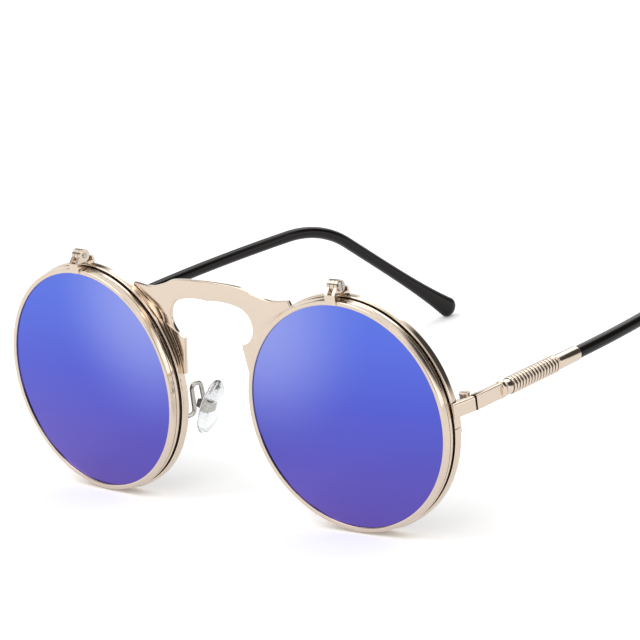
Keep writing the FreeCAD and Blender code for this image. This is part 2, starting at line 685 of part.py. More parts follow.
def from_tip(shape):
    # The tip frame starts at the end of the bow and has Y along the temple there.
    placed = shape.copy()
    placed.rotate(ORIGIN, AXIS_Z, TIP_BOW)
    placed.translate(bow_point(TIP_BOW))
    return placed


def tip_direction(angle):
    # In the tip frame: the axis after it has turned down by an angle, with the bend plane's toe-out
    down = math.sin(math.radians(angle))
    toe = math.radians(TIP_TOE_OUT)
    return V(down * math.sin(toe), math.cos(math.radians(angle)), -down * math.cos(toe))


BEND_TRIM = BEND_R * math.tan(math.radians(BEND_DROP / 2))
BEND_POINT = V(0, BEND_TRIM, 0)
DROP_DIRECTION = tip_direction(BEND_DROP)
DROP_START = BEND_POINT + DROP_DIRECTION * BEND_TRIM
DROP_END = BEND_POINT + DROP_DIRECTION * DROP_LENGTH


def core_wire(radius):
    bow = Part.Arc(bow_point(0), bow_point(TIP_BOW / 2), bow_point(TIP_BOW)).toShape()
    stop = DROP_END - DROP_DIRECTION * CORE_WIRE_STOP
    bisector = (DROP_DIRECTION - AXIS_Y).normalize()
    bend_depth = BEND_R / math.cos(math.radians(BEND_DROP / 2)) - BEND_R
    bend = Part.Arc(ORIGIN, BEND_POINT + bisector * bend_depth, DROP_START).toShape()
    drop = Part.LineSegment(DROP_START, stop).toShape()
    return tube_along(Part.Wire([bow, from_tip(bend), from_tip(drop)]), radius)


def temple_bar():
    half = BAR_THICKNESS / 2
    bar = box((-half, SPLIT_GAP / 2, -BAR_HEIGHT / 2), (half, RIB_START, BAR_HEIGHT / 2))
    bar = round_edges(bar, BAR_ROUND, lambda edge: is_along(edge, AXIS_Y))
    rib = oval(RIB_THICKNESS, RIB_HEIGHT, V(0, RIB_LENGTH, 0), V(0, RIB_START, 0))
    collar = rod(COLLAR_R, V(0, RIB_START + RIB_LENGTH, 0), V(0, COLLAR_END, 0))
    core = rod(CORE_R, V(0, COLLAR_END, 0), V(0, FERRULE_END, 0))
    return one_solid(bar.fuse([rib, collar, core, core_wire(CORE_WIRE_R)]))


def rear_hinge():
    return hinge_leaf(1, (0,), PIN_RUNNING_FIT)


def ferrule():
    start = V(0, SPRING_END, 0)
    end = V(0, FERRULE_END, 0)
    sleeve = rod(FERRULE_R, start, end).cut(rod(CORE_R + FERRULE_FIT, start, end))
    slit_low = (-FERRULE_SLIT / 2, SPRING_END - OVERRUN, 0)
    slit_high = (FERRULE_SLIT / 2, FERRULE_END + OVERRUN, FERRULE_R + OVERRUN)
    return sleeve.cut(box(slit_low, slit_high))


def drop_section(distance, half_height, half_thickness):
    ring = oval(2 * half_thickness, 2 * half_height, None, ORIGIN)
    ring.rotate(ORIGIN, AXIS_X, -BEND_DROP)
    ring.rotate(ORIGIN, AXIS_Y, -TIP_TOE_OUT)
    ring.translate(DROP_START + DROP_DIRECTION * distance)
    return ring


def temple_tip():
    bow_start = bow_point(0)
    bow_ring = Part.Face(Part.Wire(Part.Circle(bow_start, AXIS_Y, TIP_TUBE_R).toShape()))
    bow = bow_ring.revolve(bow_start - V(BOW_R, 0, 0), AXIS_Z, TIP_BOW)
    elbow_ring = Part.Face(Part.Wire(Part.Circle(ORIGIN, AXIS_Y, TIP_TUBE_R).toShape()))
    across = AXIS_Y.cross(DROP_DIRECTION).normalize()
    inward = across.cross(AXIS_Y)
    elbow = elbow_ring.revolve(inward * BEND_R, across, BEND_DROP)
    drop = DROP_LENGTH - BEND_TRIM
    body = drop - PADDLE_CAP
    grow_height = PADDLE_HEIGHT / 2 - TIP_TUBE_R
    grow_thickness = PADDLE_THICKNESS / 2 - TIP_TUBE_R
    sections = []
    for step in range(PADDLE_STEPS + 1):
        growth = (step / PADDLE_STEPS) ** PADDLE_GROWTH_POWER
        sizes = (TIP_TUBE_R + growth * grow_height, TIP_TUBE_R + growth * grow_thickness)
        sections.append(drop_section(body * step / PADDLE_STEPS, *sizes))
    for step in range(1, CAP_STEPS + 1):
        angle = math.radians(QUARTER_TURN * CAP_END_SHARE * step / CAP_STEPS)
        shrink = math.cos(angle)
        sizes = (PADDLE_HEIGHT / 2 * shrink, PADDLE_THICKNESS / 2 * shrink)
        sections.append(drop_section(body + PADDLE_CAP * math.sin(angle), *sizes))
    paddle = Part.makeLoft(sections, True, True)
    tube = bow.fuse([from_tip(elbow), from_tip(paddle)])
    return one_solid(tube.cut(core_wire(CORE_WIRE_R + CORE_WIRE_FIT)))


# Spring round the temple's core, in the temple frame

def coil_point(turn):
    angle = 2 * math.pi * turn
    across = SPRING_COIL_R * math.cos(angle)
    return V(across, SPRING_START + SPRING_PITCH * turn, SPRING_COIL_R * math.sin(angle))


def coil_tangent(turn):
    angle = 2 * math.pi * turn
    sweep = 2 * math.pi * SPRING_COIL_R
    return V(-sweep * math.sin(angle), SPRING_PITCH, sweep * math.cos(angle)).normalize()


def arc_past(start, corner, end):
    # Arc that leaves the start towards the corner and reaches the end from it
    middle = (start + end) / 2
    rise = corner - middle
    half_chord = (end - start).Length / 2
    bend = math.atan2(rise.Length, half_chord)
    return Part.Arc(start, middle + rise.normalize() * half_chord * math.tan(bend / 2), end).toShape()


def biarc(start, start_tangent, end, end_tangent):
    chord = end - start
    both = start_tangent + end_tangent
    slack = 2 * (1 - start_tangent.dot(end_tangent))
    along = chord.dot(both)
    reach = (math.sqrt(along ** 2 + slack * chord.dot(chord)) - along) / slack
    first_corner = start + start_tangent * reach
    second_corner = end - end_tangent * reach
    joint = (first_corner + second_corner) / 2
    return [arc_past(start, first_corner, joint), arc_past(joint, second_corner, end)]


def spring():
    first = coil_point(0)
    last = coil_point(SPRING_TURNS)
    first_tangent = coil_tangent(0)
    last_tangent = coil_tangent(SPRING_TURNS)
    edges = [Part.LineSegment(first - first_tangent * SPRING_WIRE, first).toShape()]
    for step in range(SPRING_TURNS * QUARTERS):
        start = step / QUARTERS
        end = (step + 1) / QUARTERS
        edges = edges + biarc(coil_point(start), coil_tangent(start), coil_point(end), coil_tangent(end))
    edges.append(Part.LineSegment(last, last + last_tangent * SPRING_WIRE).toShape())
    return tube_along(Part.Wire(edges), SPRING_WIRE / 2)


def spring_gap():
    # Least distance between neighbouring turns, measured on points of the coil
    count = SPRING_TURNS * GAP_SAMPLES_PER_TURN
    points = [coil_point(step / GAP_SAMPLES_PER_TURN) for step in range(count + 1)]
    half = GAP_SAMPLES_PER_TURN // 2
    pairs = ((a, b) for a in range(count + 1) for b in range(a + half, min(a + 3 * half, count + 1)))
    return min((points[a] - points[b]).Length for a, b in pairs) - SPRING_WIRE


# The whole object

def left_pieces():
    pieces = {
        "base_rim": from_eye(base_rim()),
        "base_lens": from_eye(lens(BASE_OPENING_R + LENS_BITE, BASE_LENS_Y)),
        "end_piece": end_piece(),
        "front_hinge": front_hinge(),
        "temple_screw": temple_screw(),
        "rim_lock_upper": from_eye(rim_lock(1)),
        "rim_lock_lower": from_eye(rim_lock(-1)),
        "rim_lock_screw": from_eye(rim_lock_screw()),
        "pad_arm": pad_arm(),
        "pad_box": pad_box(),
        "pad_screw": pad_screw(),
        "nose_pad": nose_pad(),
        "flip_bracket": from_eye(flip_bracket()),
        "flip_rim": from_eye(flip_rim()),
        "flip_lens": from_eye(lens(FLIP_OPENING_R + LENS_BITE, LENS_SETBACK)),
        "flip_leaf": from_eye(flip_leaf()),
        "flip_screw": from_eye(flip_screw()),
        "temple_bar": from_temple(temple_bar()),
        "rear_hinge": from_temple(rear_hinge()),
        "spring": from_temple(spring()),
        "ferrule": from_temple(ferrule()),
        "temple_tip": from_temple(temple_tip()),
    }
    return pieces


def leaned(shape, lean):
    placed = shape.copy()
    placed.rotate(ORIGIN, AXIS_X, lean)
    return placed


def low_point(shape, lean):
    return leaned(shape, lean).optimalBoundingBox().ZMin


def standing_lean(rim, tip):
    # Lean about X at which the rim and the temple tip reach equally low
    low, high = -LEAN_LIMIT, LEAN_LIMIT
    for _ in range(LEAN_STEPS):
        middle = (low + high) / 2
        if low_point(tip, middle) < low_point(rim, middle):
            low = middle
        else:
            high = middle
    return (low + high) / 2


def main():
    os.makedirs("parts", exist_ok=True)
    left = left_pieces()
    nodes = {"bridge_plate": bridge_plate()}
    for name, shape in left.items():
        nodes[name + "_left"] = shape
        nodes[name + "_right"] = mirrored(shape)
    lean = standing_lean(left["base_rim"], left["temple_tip"])
    nodes = {name: leaned(shape, lean) for name, shape in nodes.items()}
    bounds = Part.makeCompound(list(nodes.values())).optimalBoundingBox()
    shift = V(-bounds.Center.x, -bounds.Center.y, -bounds.ZMin)
    for name, shape in nodes.items():
        shape.translate(shift)
        shape.exportStep("parts/" + name + ".step")
    stand = FreeCAD.Placement(shift, FreeCAD.Rotation(AXIS_X, lean))
    flip_axis = V(WRAP_COS, WRAP_SIN, 0)
    places = {
        "flip_left": (eye_point(V(0, FLIP_AXIS_Y, FLIP_AXIS_Z)), flip_axis),
        "temple_left": (V(HINGE_X, SPLIT_Y, TEMPLE_Z), AXIS_Z),
    }
    for name, (point, axis) in places.items():
        at = stand.multVec(point)
        along = stand.Rotation.multVec(axis)
        print(name, "at", [round(c, 4) for c in at], "axis", [round(c, 6) for c in along])
    print("lean", round(lean, 4), "shift", [round(c, 4) for c in shift])
    print("size", [round(c, 3) for c in (bounds.XLength, bounds.YLength, bounds.ZLength)])
    print("spring gap", round(spring_gap(), 3), "over", SPRING_MIN_GAP)
    for name, shape in nodes.items():
        print(name, "solids", len(shape.Solids), "valid", shape.isValid(), "volume", round(shape.Volume, 3))


main()
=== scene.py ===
# %% [markdown]
# # Flip-up sunglasses
# These are round metal sunglasses. A clear inner pair of lenses sits in the frame, and a mirrored outer pair
# flips up on two small hinges. The CAD part already holds every solid, body and joint. This script loads
# it, gives it finer surfaces and real materials, and sets up the photograph's camera and light.
#
# Lengths are in millimetres until a mesh is made, because a pair of glasses is small and millimetres read
# more easily than metres.

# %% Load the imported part
import json
import math

import bpy
import numpy as np
from mathutils import Matrix, Vector


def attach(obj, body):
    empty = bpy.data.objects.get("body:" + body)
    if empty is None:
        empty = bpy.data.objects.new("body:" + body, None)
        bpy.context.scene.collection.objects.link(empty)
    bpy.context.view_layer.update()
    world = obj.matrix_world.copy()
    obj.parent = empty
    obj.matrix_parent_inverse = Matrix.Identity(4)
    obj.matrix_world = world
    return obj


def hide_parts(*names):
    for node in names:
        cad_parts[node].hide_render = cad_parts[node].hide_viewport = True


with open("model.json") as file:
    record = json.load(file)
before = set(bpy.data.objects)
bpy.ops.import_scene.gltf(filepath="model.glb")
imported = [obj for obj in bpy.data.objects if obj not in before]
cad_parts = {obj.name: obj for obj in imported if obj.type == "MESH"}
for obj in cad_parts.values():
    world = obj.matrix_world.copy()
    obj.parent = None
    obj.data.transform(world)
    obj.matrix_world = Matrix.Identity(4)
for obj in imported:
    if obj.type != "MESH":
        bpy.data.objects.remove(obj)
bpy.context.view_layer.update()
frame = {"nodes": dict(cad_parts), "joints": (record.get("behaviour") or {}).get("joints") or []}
nodes = frame["nodes"]
joints = {joint["name"]: joint for joint in frame["joints"]}
SIDES = ("left", "right")
MM = 0.001

# %% [markdown]
# ## Local frames
# A rim is easiest to describe about the middle of its lens. Empties could carry such a frame, but a finished
# piece has to sit at the origin, so here a frame is only an origin and three axes. Both follow from the
# joints, so the new surfaces land on the solids. Only the left side is described, and the right side is
# its mirror image.

# %% Frames of the lens and of the front
EYE_X = 35.35
FLIP_AXIS_Y = 2.2
FLIP_AXIS_Z = 27.0
MIRROR_X = np.array([-1.0, 1.0, 1.0])


def unit(vectors):
    """Vectors divided by their own length."""
    return vectors / np.linalg.norm(vectors, axis=-1, keepdims=True)


def placed(points, local_frame):
    """Origin plus each coordinate times its axis."""
    origin, axes = local_frame
    return origin + points @ axes


def on_side(vectors, side):
    """Vectors of the left side, with X reversed for the right side."""
    return vectors * MIRROR_X if side == "right" else vectors


flip_hinge = joints["flip_left_hinge"]
temple_hinge = joints["temple_left_hinge"]
rise = unit(np.array(temple_hinge["axis"]))
eye_axes = np.stack([-unit(np.array(flip_hinge["axis"])), np.zeros(3), rise])
eye_axes[1] = np.cross(eye_axes[2], eye_axes[0])
eye_origin = np.array(flip_hinge["pos_m"]) / MM - FLIP_AXIS_Y * eye_axes[1] - FLIP_AXIS_Z * eye_axes[2]
EYE = (eye_origin, eye_axes)

front_axes = np.stack([np.array([1.0, 0.0, 0.0]), np.zeros(3), rise])
front_axes[1] = np.cross(front_axes[2], front_axes[0])
FRONT = (eye_origin - EYE_X * front_axes[0], front_axes)
print("lens centre", np.round(eye_origin, 3))

# %% [markdown]
# ## From grids to meshes
# Every new piece is a grid of points: an outline repeated along a line of stations. Blender's curves with a
# bevel could make some of these shapes, but a grid gives exact sections and clean quads everywhere. The
# grid is closed around the outline, and one face closes each open end, so each shell is sealed.

# %% Shells and pieces
def shell(grid, ring=False):
    """Points and faces of a grid whose columns close round: point number is row times columns plus column.

    A ring closes its rows too. Otherwise the first and the last row each become one end face."""
    rows, columns = grid.shape[:2]
    row = np.arange(rows if ring else rows - 1)[:, None] * columns
    next_row = (row + columns) % (rows * columns)
    column = np.arange(columns)[None, :]
    next_column = (column + 1) % columns
    corners = [row + column, row + next_column, next_row + next_column, next_row + column]
    quads = np.stack(corners, axis=-1).reshape(-1, 4)
    first_row = np.arange(columns)
    ends = [] if ring else [first_row[::-1], (rows - 1) * columns + first_row]
    return grid.reshape(-1, 3), quads, ends


def facing_out(points, quads, ends):
    """Faces turned so that the sealed shell's volume is positive.

    The volume has the sign of the sum of a . (b x c) over the triangles (a, b, c)."""
    triangles = [quads[:, :3], quads[:, [0, 2, 3]]]
    for end in ends:
        triangles.append(np.stack([np.full(len(end) - 2, end[0]), end[1:-1], end[2:]], axis=-1))
    about_middle = points - points.mean(axis=0)
    a, b, c = about_middle[np.concatenate(triangles)].transpose(1, 0, 2)
    if np.einsum("ij,ij->", a, np.cross(b, c)) < 0:
        return quads[:, ::-1], [end[::-1] for end in ends]
    return quads, ends


def piece(node, side, body, shells, local_frame, material, sharp=40.0):
    """One mesh object from sealed shells, in place of a CAD node and riding on its body."""
    all_points = []
    faces = []
    count = 0
    for points, quads, ends in shells:
        points = on_side(placed(points, local_frame), side)
        quads, ends = facing_out(points, quads, ends)
        faces = faces + (quads + count).tolist() + [(end + count).tolist() for end in ends]
        all_points.append(points)
        count = count + len(points)
    name = f"{node}_{side}" if side else node
    mesh = bpy.data.meshes.new(f"{name}_surface")
    mesh.from_pydata((np.concatenate(all_points) * MM).tolist(), [], faces)
    mesh.polygons.foreach_set("use_smooth", np.ones(len(faces), bool))
    mesh.set_sharp_from_angle(angle=math.radians(sharp))
    mesh.materials.append(material)
    piece_object = bpy.data.objects.new(f"{name}_surface", mesh)
    bpy.context.scene.collection.objects.link(piece_object)
    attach(piece_object, body)
    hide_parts(name)
    print(piece_object.name, len(faces), "faces")
    return piece_object


# %% [markdown]
# ## Metal
# The frame is nickel silver, which is stamped, turned and wound, then polished and plated in a pale
# champagne gold. A picture of metal could carry its slight unevenness, but noise in object coordinates needs
# no file and moves with the part. Colours are screen hex values that one function turns into light values,
# and one other function adds every node.

# %% Material tools
# A Mix node numbers its sockets: its share, then one pair for numbers and another pair for colours
MIX_SHARE = 0
NUMBER_A = 2
NUMBER_B = 3
COLOUR_A = 6
COLOUR_B = 7
MIXED_NUMBER = 0
MIXED_COLOUR = 2
NOISE_DETAIL = 3.0


def colour(code):
    """Linear colour of a hex code: c / 12.92 below 0.04045, else ((c + 0.055) / 1.055) ^ 2.4."""
    value = np.array([int(code[i:i + 2], 16) for i in (1, 3, 5)]) / 255
    linear = np.where(value <= 0.04045, value / 12.92, ((value + 0.055) / 1.055) ** 2.4)
    return (*linear.tolist(), 1.0)


def add(tree, kind, inputs=None, **settings):
    """One shader node. Settings are its own options, and inputs are values or other nodes' outputs."""
    node = tree.nodes.new(kind)
    for name, value in settings.items():
        setattr(node, name, value)
    for key, value in (inputs or {}).items():
        if isinstance(value, bpy.types.NodeSocket):
            tree.links.new(value, node.inputs[key])
        else:
            node.inputs[key].default_value = value
    return node


def finish(name, codes, grain, roughness, relief=0.0, edge=0.0, **values):
    """Material whose colour and roughness wander between two values over grains of a real size.

    The noise has one wave per grain, the bump is as high as the relief, and corners are softened over the
    edge radius, all in millimetres."""
    material = bpy.data.materials.new(name)
    material.use_nodes = True
    tree = material.node_tree
    shader = tree.nodes["Principled BSDF"]
    place = add(tree, "ShaderNodeTexCoord").outputs["Object"]
    waves = {"Vector": place, "Scale": 1 / (grain * MM), "Detail": NOISE_DETAIL}
    noise = add(tree, "ShaderNodeTexNoise", waves).outputs["Fac"]
    tints = {MIX_SHARE: noise, COLOUR_A: colour(codes[0]), COLOUR_B: colour(codes[1])}
    tint = add(tree, "ShaderNodeMix", tints, data_type="RGBA").outputs[MIXED_COLOUR]
    tree.links.new(tint, shader.inputs["Base Color"])
    limits = {"Value": noise, "To Min": roughness[0], "To Max": roughness[1]}
    gloss = add(tree, "ShaderNodeMapRange", limits).outputs["Result"]
    tree.links.new(gloss, shader.inputs["Roughness"])
    if edge:
        soft = add(tree, "ShaderNodeBevel", {"Radius": edge * MM}).outputs["Normal"]
        tree.links.new(soft, shader.inputs["Normal"])
    if relief:
        bump = add(tree, "ShaderNodeBump", {"Height": noise, "Distance": relief * MM}).outputs["Normal"]
        tree.links.new(bump, shader.inputs["Normal"])
    for key, value in values.items():
        shader.inputs[key.replace("_", " ")].default_value = value
    print("material", name)
    return material


# %% Metals
GOLD = ("#E3D2C0", "#E7D6C4")

# Polished champagne plating shows sharp, warm reflections under a faint haze from the polishing wheel.
# The real haze is too fine to show, so it is drawn a millimetre wide.
gold = finish("polished champagne plating", GOLD, grain=1.0, roughness=(0.08, 0.14), Metallic=1.0)

# Small hardware is polished in a barrel, so its edges are softer and its gloss is a little lower
small_gold = finish("barrel polished champagne plating", GOLD, grain=0.5, roughness=(0.09, 0.17),
                    edge=0.08, Metallic=1.0)

# The soldered end pieces are polished by hand, which rounds their edges most and gives them bright outlines
round_gold = finish("hand polished champagne plating", GOLD, grain=0.8, roughness=(0.08, 0.14),
                    edge=0.25, Metallic=1.0)

# Painted shade: a dark, dull copy of the plating, laid on faces in gaps and between coils where shade falls
painted_shade_gold = finish("painted shade plating", ("#362C25", "#42362E"), grain=0.3, roughness=(0.4, 0.55),
                  Metallic=1.0)

# Turned steel with bright nickel plating is greyer than the gold, with fine tool marks in its gloss
nickel = finish("nickel plated steel", ("#BEB9B3", "#CAC5BF"), grain=0.2, roughness=(0.15, 0.26),
                edge=0.05, Metallic=1.0)

# %% [markdown]
# ## Rims
# Each lens sits in a grooved ring of metal. The flip rim has a crowned lip, a slightly conical front band and
# a fine groove around its side. The base rim behind it is slit at the temple side, where a block and a screw
# close it on its lens. A Screw modifier could turn such a profile, but turning it in numpy keeps the start
# and the end of the slit exact. The back of the flip rim, which closes on the base rim, is painted dark as
# the shade in the gap between the two rims.

# %% Profile tools
def softened(corners, cut, steps=5):
    """Closed outline whose corners P become curves (1-t)^2 A + 2t(1-t) P + t^2 B.

    A and B lie on the two sides that meet in P, at the cut's distance from it."""
    corners = np.asarray(corners, float)
    before = corners + cut * unit(np.roll(corners, 1, axis=0) - corners)
    after = corners + cut * unit(np.roll(corners, -1, axis=0) - corners)
    t = np.linspace(0.0, 1.0, steps)[None, :, None]
    curves = (1 - t) ** 2 * before[:, None] + 2 * t * (1 - t) * corners[:, None] + t ** 2 * after[:, None]
    return curves.reshape(-1, 2)


def lathe(profile, start=0.0, stop=2 * math.pi, segments=480):
    """Closed profile (r, y) turned about Y: the point is (r cos a, y, r sin a) for each angle a."""
    whole = math.isclose(stop - start, 2 * math.pi)
    angle = np.linspace(start, stop, segments, endpoint=not whole)[:, None]
    radius = profile[None, :, 0]
    depth = np.broadcast_to(profile[None, :, 1], (segments, len(profile)))
    return shell(np.stack([radius * np.cos(angle), depth, radius * np.sin(angle)], axis=-1), ring=whole)


def facing(piece_object, side, axis):
    """For each face, its normal times an axis of the left side: 1 faces along it, -1 against it."""
    normals = np.empty(3 * len(piece_object.data.polygons))
    piece_object.data.polygons.foreach_get("normal", normals)
    return normals.reshape(-1, 3) @ on_side(axis, side)


def coat_faces(piece_object, material, chosen):
    """Second material on the chosen faces of a piece."""
    piece_object.data.materials.append(material)
    piece_object.data.polygons.foreach_set("material_index", chosen.astype(int))
    print(material.name, "on", int(chosen.sum()), "faces of", piece_object.name)


# %% Flip rim profile
FLIP_OPENING_R = 23.5
FLIP_RIM_R = 24.6
FLIP_RIM_DEPTH = 2.2
FLIP_BAND_DEPTH = 1.2
FLIP_BAND_CONE = 0.2
LIP_CROWN = 0.12
SIDE_GROOVE = 0.15
RIM_ROUND = 0.22
FINE_ROUND = 0.05
LENS_BITE = 0.5
LENS_CLEARANCE = 0.08
LENS_THICKNESS = 1.1
LENS_SETBACK = 0.45


def rim_inside(opening_r, back_y, lens_y):
    """Inner side of a rim from back to front, with the groove that holds the lens."""
    groove_r = opening_r + LENS_BITE + LENS_CLEARANCE
    groove_back = lens_y + LENS_THICKNESS + LENS_CLEARANCE
    groove_front = lens_y - LENS_CLEARANCE
    inside = [(opening_r, back_y), (opening_r, groove_back), (groove_r, groove_back)]
    return inside + [(groove_r, groove_front), (opening_r, groove_front)]


groove_bottom_r = FLIP_RIM_R - SIDE_GROOVE
groove_end_y = FLIP_BAND_DEPTH + SIDE_GROOVE
flip_lip = [(FLIP_OPENING_R, LIP_CROWN), (FLIP_OPENING_R + 2 * LIP_CROWN, 0.0)]
flip_band = [(FLIP_RIM_R - FLIP_BAND_CONE, 0.0), (FLIP_RIM_R, FLIP_BAND_DEPTH)]
flip_groove = [
    (groove_bottom_r, FLIP_BAND_DEPTH),
    (groove_bottom_r, groove_end_y),
    (FLIP_RIM_R, groove_end_y),
]
flip_back = [(FLIP_RIM_R, FLIP_RIM_DEPTH)] + rim_inside(FLIP_OPENING_R, FLIP_RIM_DEPTH, LENS_SETBACK)
flip_corners = np.array(flip_lip + flip_band + flip_groove + flip_back)
flip_cuts = np.full((len(flip_corners), 1), FINE_ROUND)
front_edge = len(flip_lip)
back_edge = len(flip_lip + flip_band + flip_groove)
flip_cuts[[front_edge, back_edge]] = RIM_ROUND
flip_profile = softened(flip_corners, flip_cuts)
print("flip rim profile of", len(flip_profile), "points")

# %% Base rim profile
BASE_OPENING_R = 23.7
BASE_RIM_R = 25.0
BASE_FRONT_Y = 2.7
BASE_BACK_Y = 4.6
SIDE_CROWN = 0.08
CROWN_RUN = 0.4
LOCK_SLIT = 0.15
LOCK_SLIT_Z = -1.0

base_lens_y = (BASE_FRONT_Y + BASE_BACK_Y - LENS_THICKNESS) / 2
base_front = [(BASE_OPENING_R, BASE_FRONT_Y), (BASE_RIM_R - SIDE_CROWN, BASE_FRONT_Y)]
base_side = [(BASE_RIM_R, BASE_FRONT_Y + CROWN_RUN), (BASE_RIM_R, BASE_BACK_Y - CROWN_RUN)]
base_back = [(BASE_RIM_R - SIDE_CROWN, BASE_BACK_Y)] + rim_inside(BASE_OPENING_R, BASE_BACK_Y, base_lens_y)
base_corners = np.array(base_front + base_side + base_back)
base_cuts = np.full((len(base_corners), 1), FINE_ROUND)
side_start = len(base_front) - 1
side_stop = len(base_front + base_side) + 1
base_cuts[side_start:side_stop] = RIM_ROUND
base_profile = softened(base_corners, base_cuts)
slit_start = math.asin((LOCK_SLIT_Z + LOCK_SLIT / 2) / BASE_RIM_R)
slit_stop = math.asin((LOCK_SLIT_Z - LOCK_SLIT / 2) / BASE_RIM_R) + 2 * math.pi
print("base rim turns from", round(slit_start, 4), "to", round(slit_stop, 4))

# %% Rims
FACE_LIMIT = 0.8
RIM_SHARP = 60.0

for side in SIDES:
    turned = [lathe(flip_profile)]
    flip_rim = piece("flip_rim", side, f"flip_{side}", turned, EYE, gold, RIM_SHARP)
    # Painted shade: the back faces of the flip rim get the dark plating, so the gap to the base rim reads as
    # a dark line
    coat_faces(flip_rim, painted_shade_gold, facing(flip_rim, side, eye_axes[1]) > FACE_LIMIT)
    turned = [lathe(base_profile, slit_start, slit_stop)]
    piece("base_rim", side, "front", turned, EYE, gold, RIM_SHARP)

# %% [markdown]
# ## Mirror coat
# The outer lenses are polycarbonate with a blue mirror coat, which is a metal film laid on in a vacuum. Its
# colour runs from violet at the bottom to blue at the top, partly the coat's own tint and partly a painted
# reflection of the floor, and a lighter lavender patch near the nose is a painted reflection. A picture could
# carry that, but two short ramps in object coordinates stay sharp at any size and flip up with the lens.

# %% Lens materials
# Colour stops from the bottom of the lens to the top: partly the coat's tint and partly a painted reflection,
# darker and more violet at the bottom
COAT_AND_PAINTED_REFLECTION_STOPS = ((0.0, "#705EB8"), (0.3, "#645FC4"), (0.55, "#5A63D1"), (0.85, "#5E73DE"), (1.0, "#6078E0"))
COAT_ROUGHNESS = 0.04
# A lighter lavender patch near the nose, which is a painted reflection
PAINTED_REFLECTION = "#A3ABEC"
PAINTED_REFLECTION_FROM_NOSE = 15.0
PAINTED_REFLECTION_RISE = 19.0
PAINTED_REFLECTION_REACH = 32.0
PAINTED_REFLECTION_STRENGTH = 0.65

# The metal film reflects like a mirror, tinted by a colour that is partly its own and partly painted
# reflection
mirror = bpy.data.materials.new("blue mirror coat")
mirror.use_nodes = True
tree = mirror.node_tree
shader = tree.nodes["Principled BSDF"]
shader.inputs["Metallic"].default_value = 1.0
shader.inputs["Roughness"].default_value = COAT_ROUGHNESS
place = add(tree, "ShaderNodeTexCoord").outputs["Object"]
along = add(tree, "ShaderNodeSeparateXYZ", {"Vector": place}).outputs
lens_low = (eye_origin[2] - FLIP_OPENING_R) * MM
lens_high = (eye_origin[2] + FLIP_OPENING_R) * MM
limits = {"Value": along["Z"], "From Min": lens_low, "From Max": lens_high}
height_share = add(tree, "ShaderNodeMapRange", limits).outputs["Result"]
coat_and_painted_reflection = add(tree, "ShaderNodeValToRGB", {"Fac": height_share})
while len(coat_and_painted_reflection.color_ramp.elements) < len(COAT_AND_PAINTED_REFLECTION_STOPS):
    coat_and_painted_reflection.color_ramp.elements.new(1.0)
for element, (position, code) in zip(coat_and_painted_reflection.color_ramp.elements, COAT_AND_PAINTED_REFLECTION_STOPS):
    element.position = position
    element.color = colour(code)

# Painted reflection: a lighter lavender patch high on the lens, on the nose side, mixed into the colour
from_nose = add(tree, "ShaderNodeMath", {0: along["X"]}, operation="ABSOLUTE").outputs[0]
spot = add(tree, "ShaderNodeCombineXYZ", {"X": from_nose, "Z": along["Z"]}).outputs[0]
painted_reflection_centre = (PAINTED_REFLECTION_FROM_NOSE * MM, 0.0, (eye_origin[2] + PAINTED_REFLECTION_RISE) * MM)
reach = add(tree, "ShaderNodeVectorMath", {0: spot, 1: painted_reflection_centre}, operation="DISTANCE").outputs["Value"]
limits = {"Value": reach, "From Max": PAINTED_REFLECTION_REACH * MM, "To Min": PAINTED_REFLECTION_STRENGTH, "To Max": 0.0}
painted_reflection = add(tree, "ShaderNodeMapRange", limits, interpolation_type="SMOOTHERSTEP").outputs["Result"]
tints = {MIX_SHARE: painted_reflection, COLOUR_A: coat_and_painted_reflection.outputs["Color"], COLOUR_B: colour(PAINTED_REFLECTION)}
tint = add(tree, "ShaderNodeMix", tints, data_type="RGBA").outputs[MIXED_COLOUR]
tree.links.new(tint, shader.inputs["Base Color"])

# The back of that lens is dyed plastic: dark, smooth and slightly cloudy
smoke = finish("smoke dyed polycarbonate", ("#26272E", "#2E2F38"), grain=6.0, roughness=(0.04, 0.08))

# The inner lens is undyed plastic that is nearly all see-through, with faint smears in its gloss
clear = finish("clear polycarbonate", ("#F2F5F7", "#F6F8FA"), grain=5.0, roughness=(0.02, 0.05),
               Alpha=0.12)

# %% [markdown]
# ## Lenses
# A lens is a shallow dome, cut round and pressed into the rim's groove. A sphere with most of it cut away
# would do, but it wastes faces and has a ragged edge. Here rings run from the middle of the front over the
# edge to the middle of the back. At a distance r from the axis the surface of a sphere of radius R lies
# R - sqrt(R^2 - r^2) behind its front point.

# %% Lenses
LENS_CURVE_R = 265.0
MIDDLE_SHARE = 0.002
SIDEWAYS = np.array([1.0, 0.0, 0.0])
UPWARD = np.array([0.0, 0.0, 1.0])


def circle(radius_x, radius_y, steps=64):
    """Ellipse: the cosine and the sine of an even angle, times the two radii."""
    angle = np.linspace(0.0, 2 * math.pi, steps, endpoint=False)
    return np.stack([radius_x * np.cos(angle), radius_y * np.sin(angle)], axis=-1)


def sweep(centres, across, upward, sections):
    """Section (s, h) carried along a path: the centre plus s times across plus h times upward."""
    across = np.broadcast_to(across, centres.shape)[:, None, :]
    upward = np.broadcast_to(upward, centres.shape)[:, None, :]
    return shell(centres[:, None, :] + sections[..., 0:1] * across + sections[..., 1:2] * upward)


def on_axis(depth):
    """Points (0, y, 0) for each depth y."""
    return np.stack([0 * depth, depth, 0 * depth], axis=-1)


def dome(radius):
    """Depth of the sphere's surface behind its front point."""
    return LENS_CURVE_R - np.sqrt(LENS_CURVE_R ** 2 - radius ** 2)


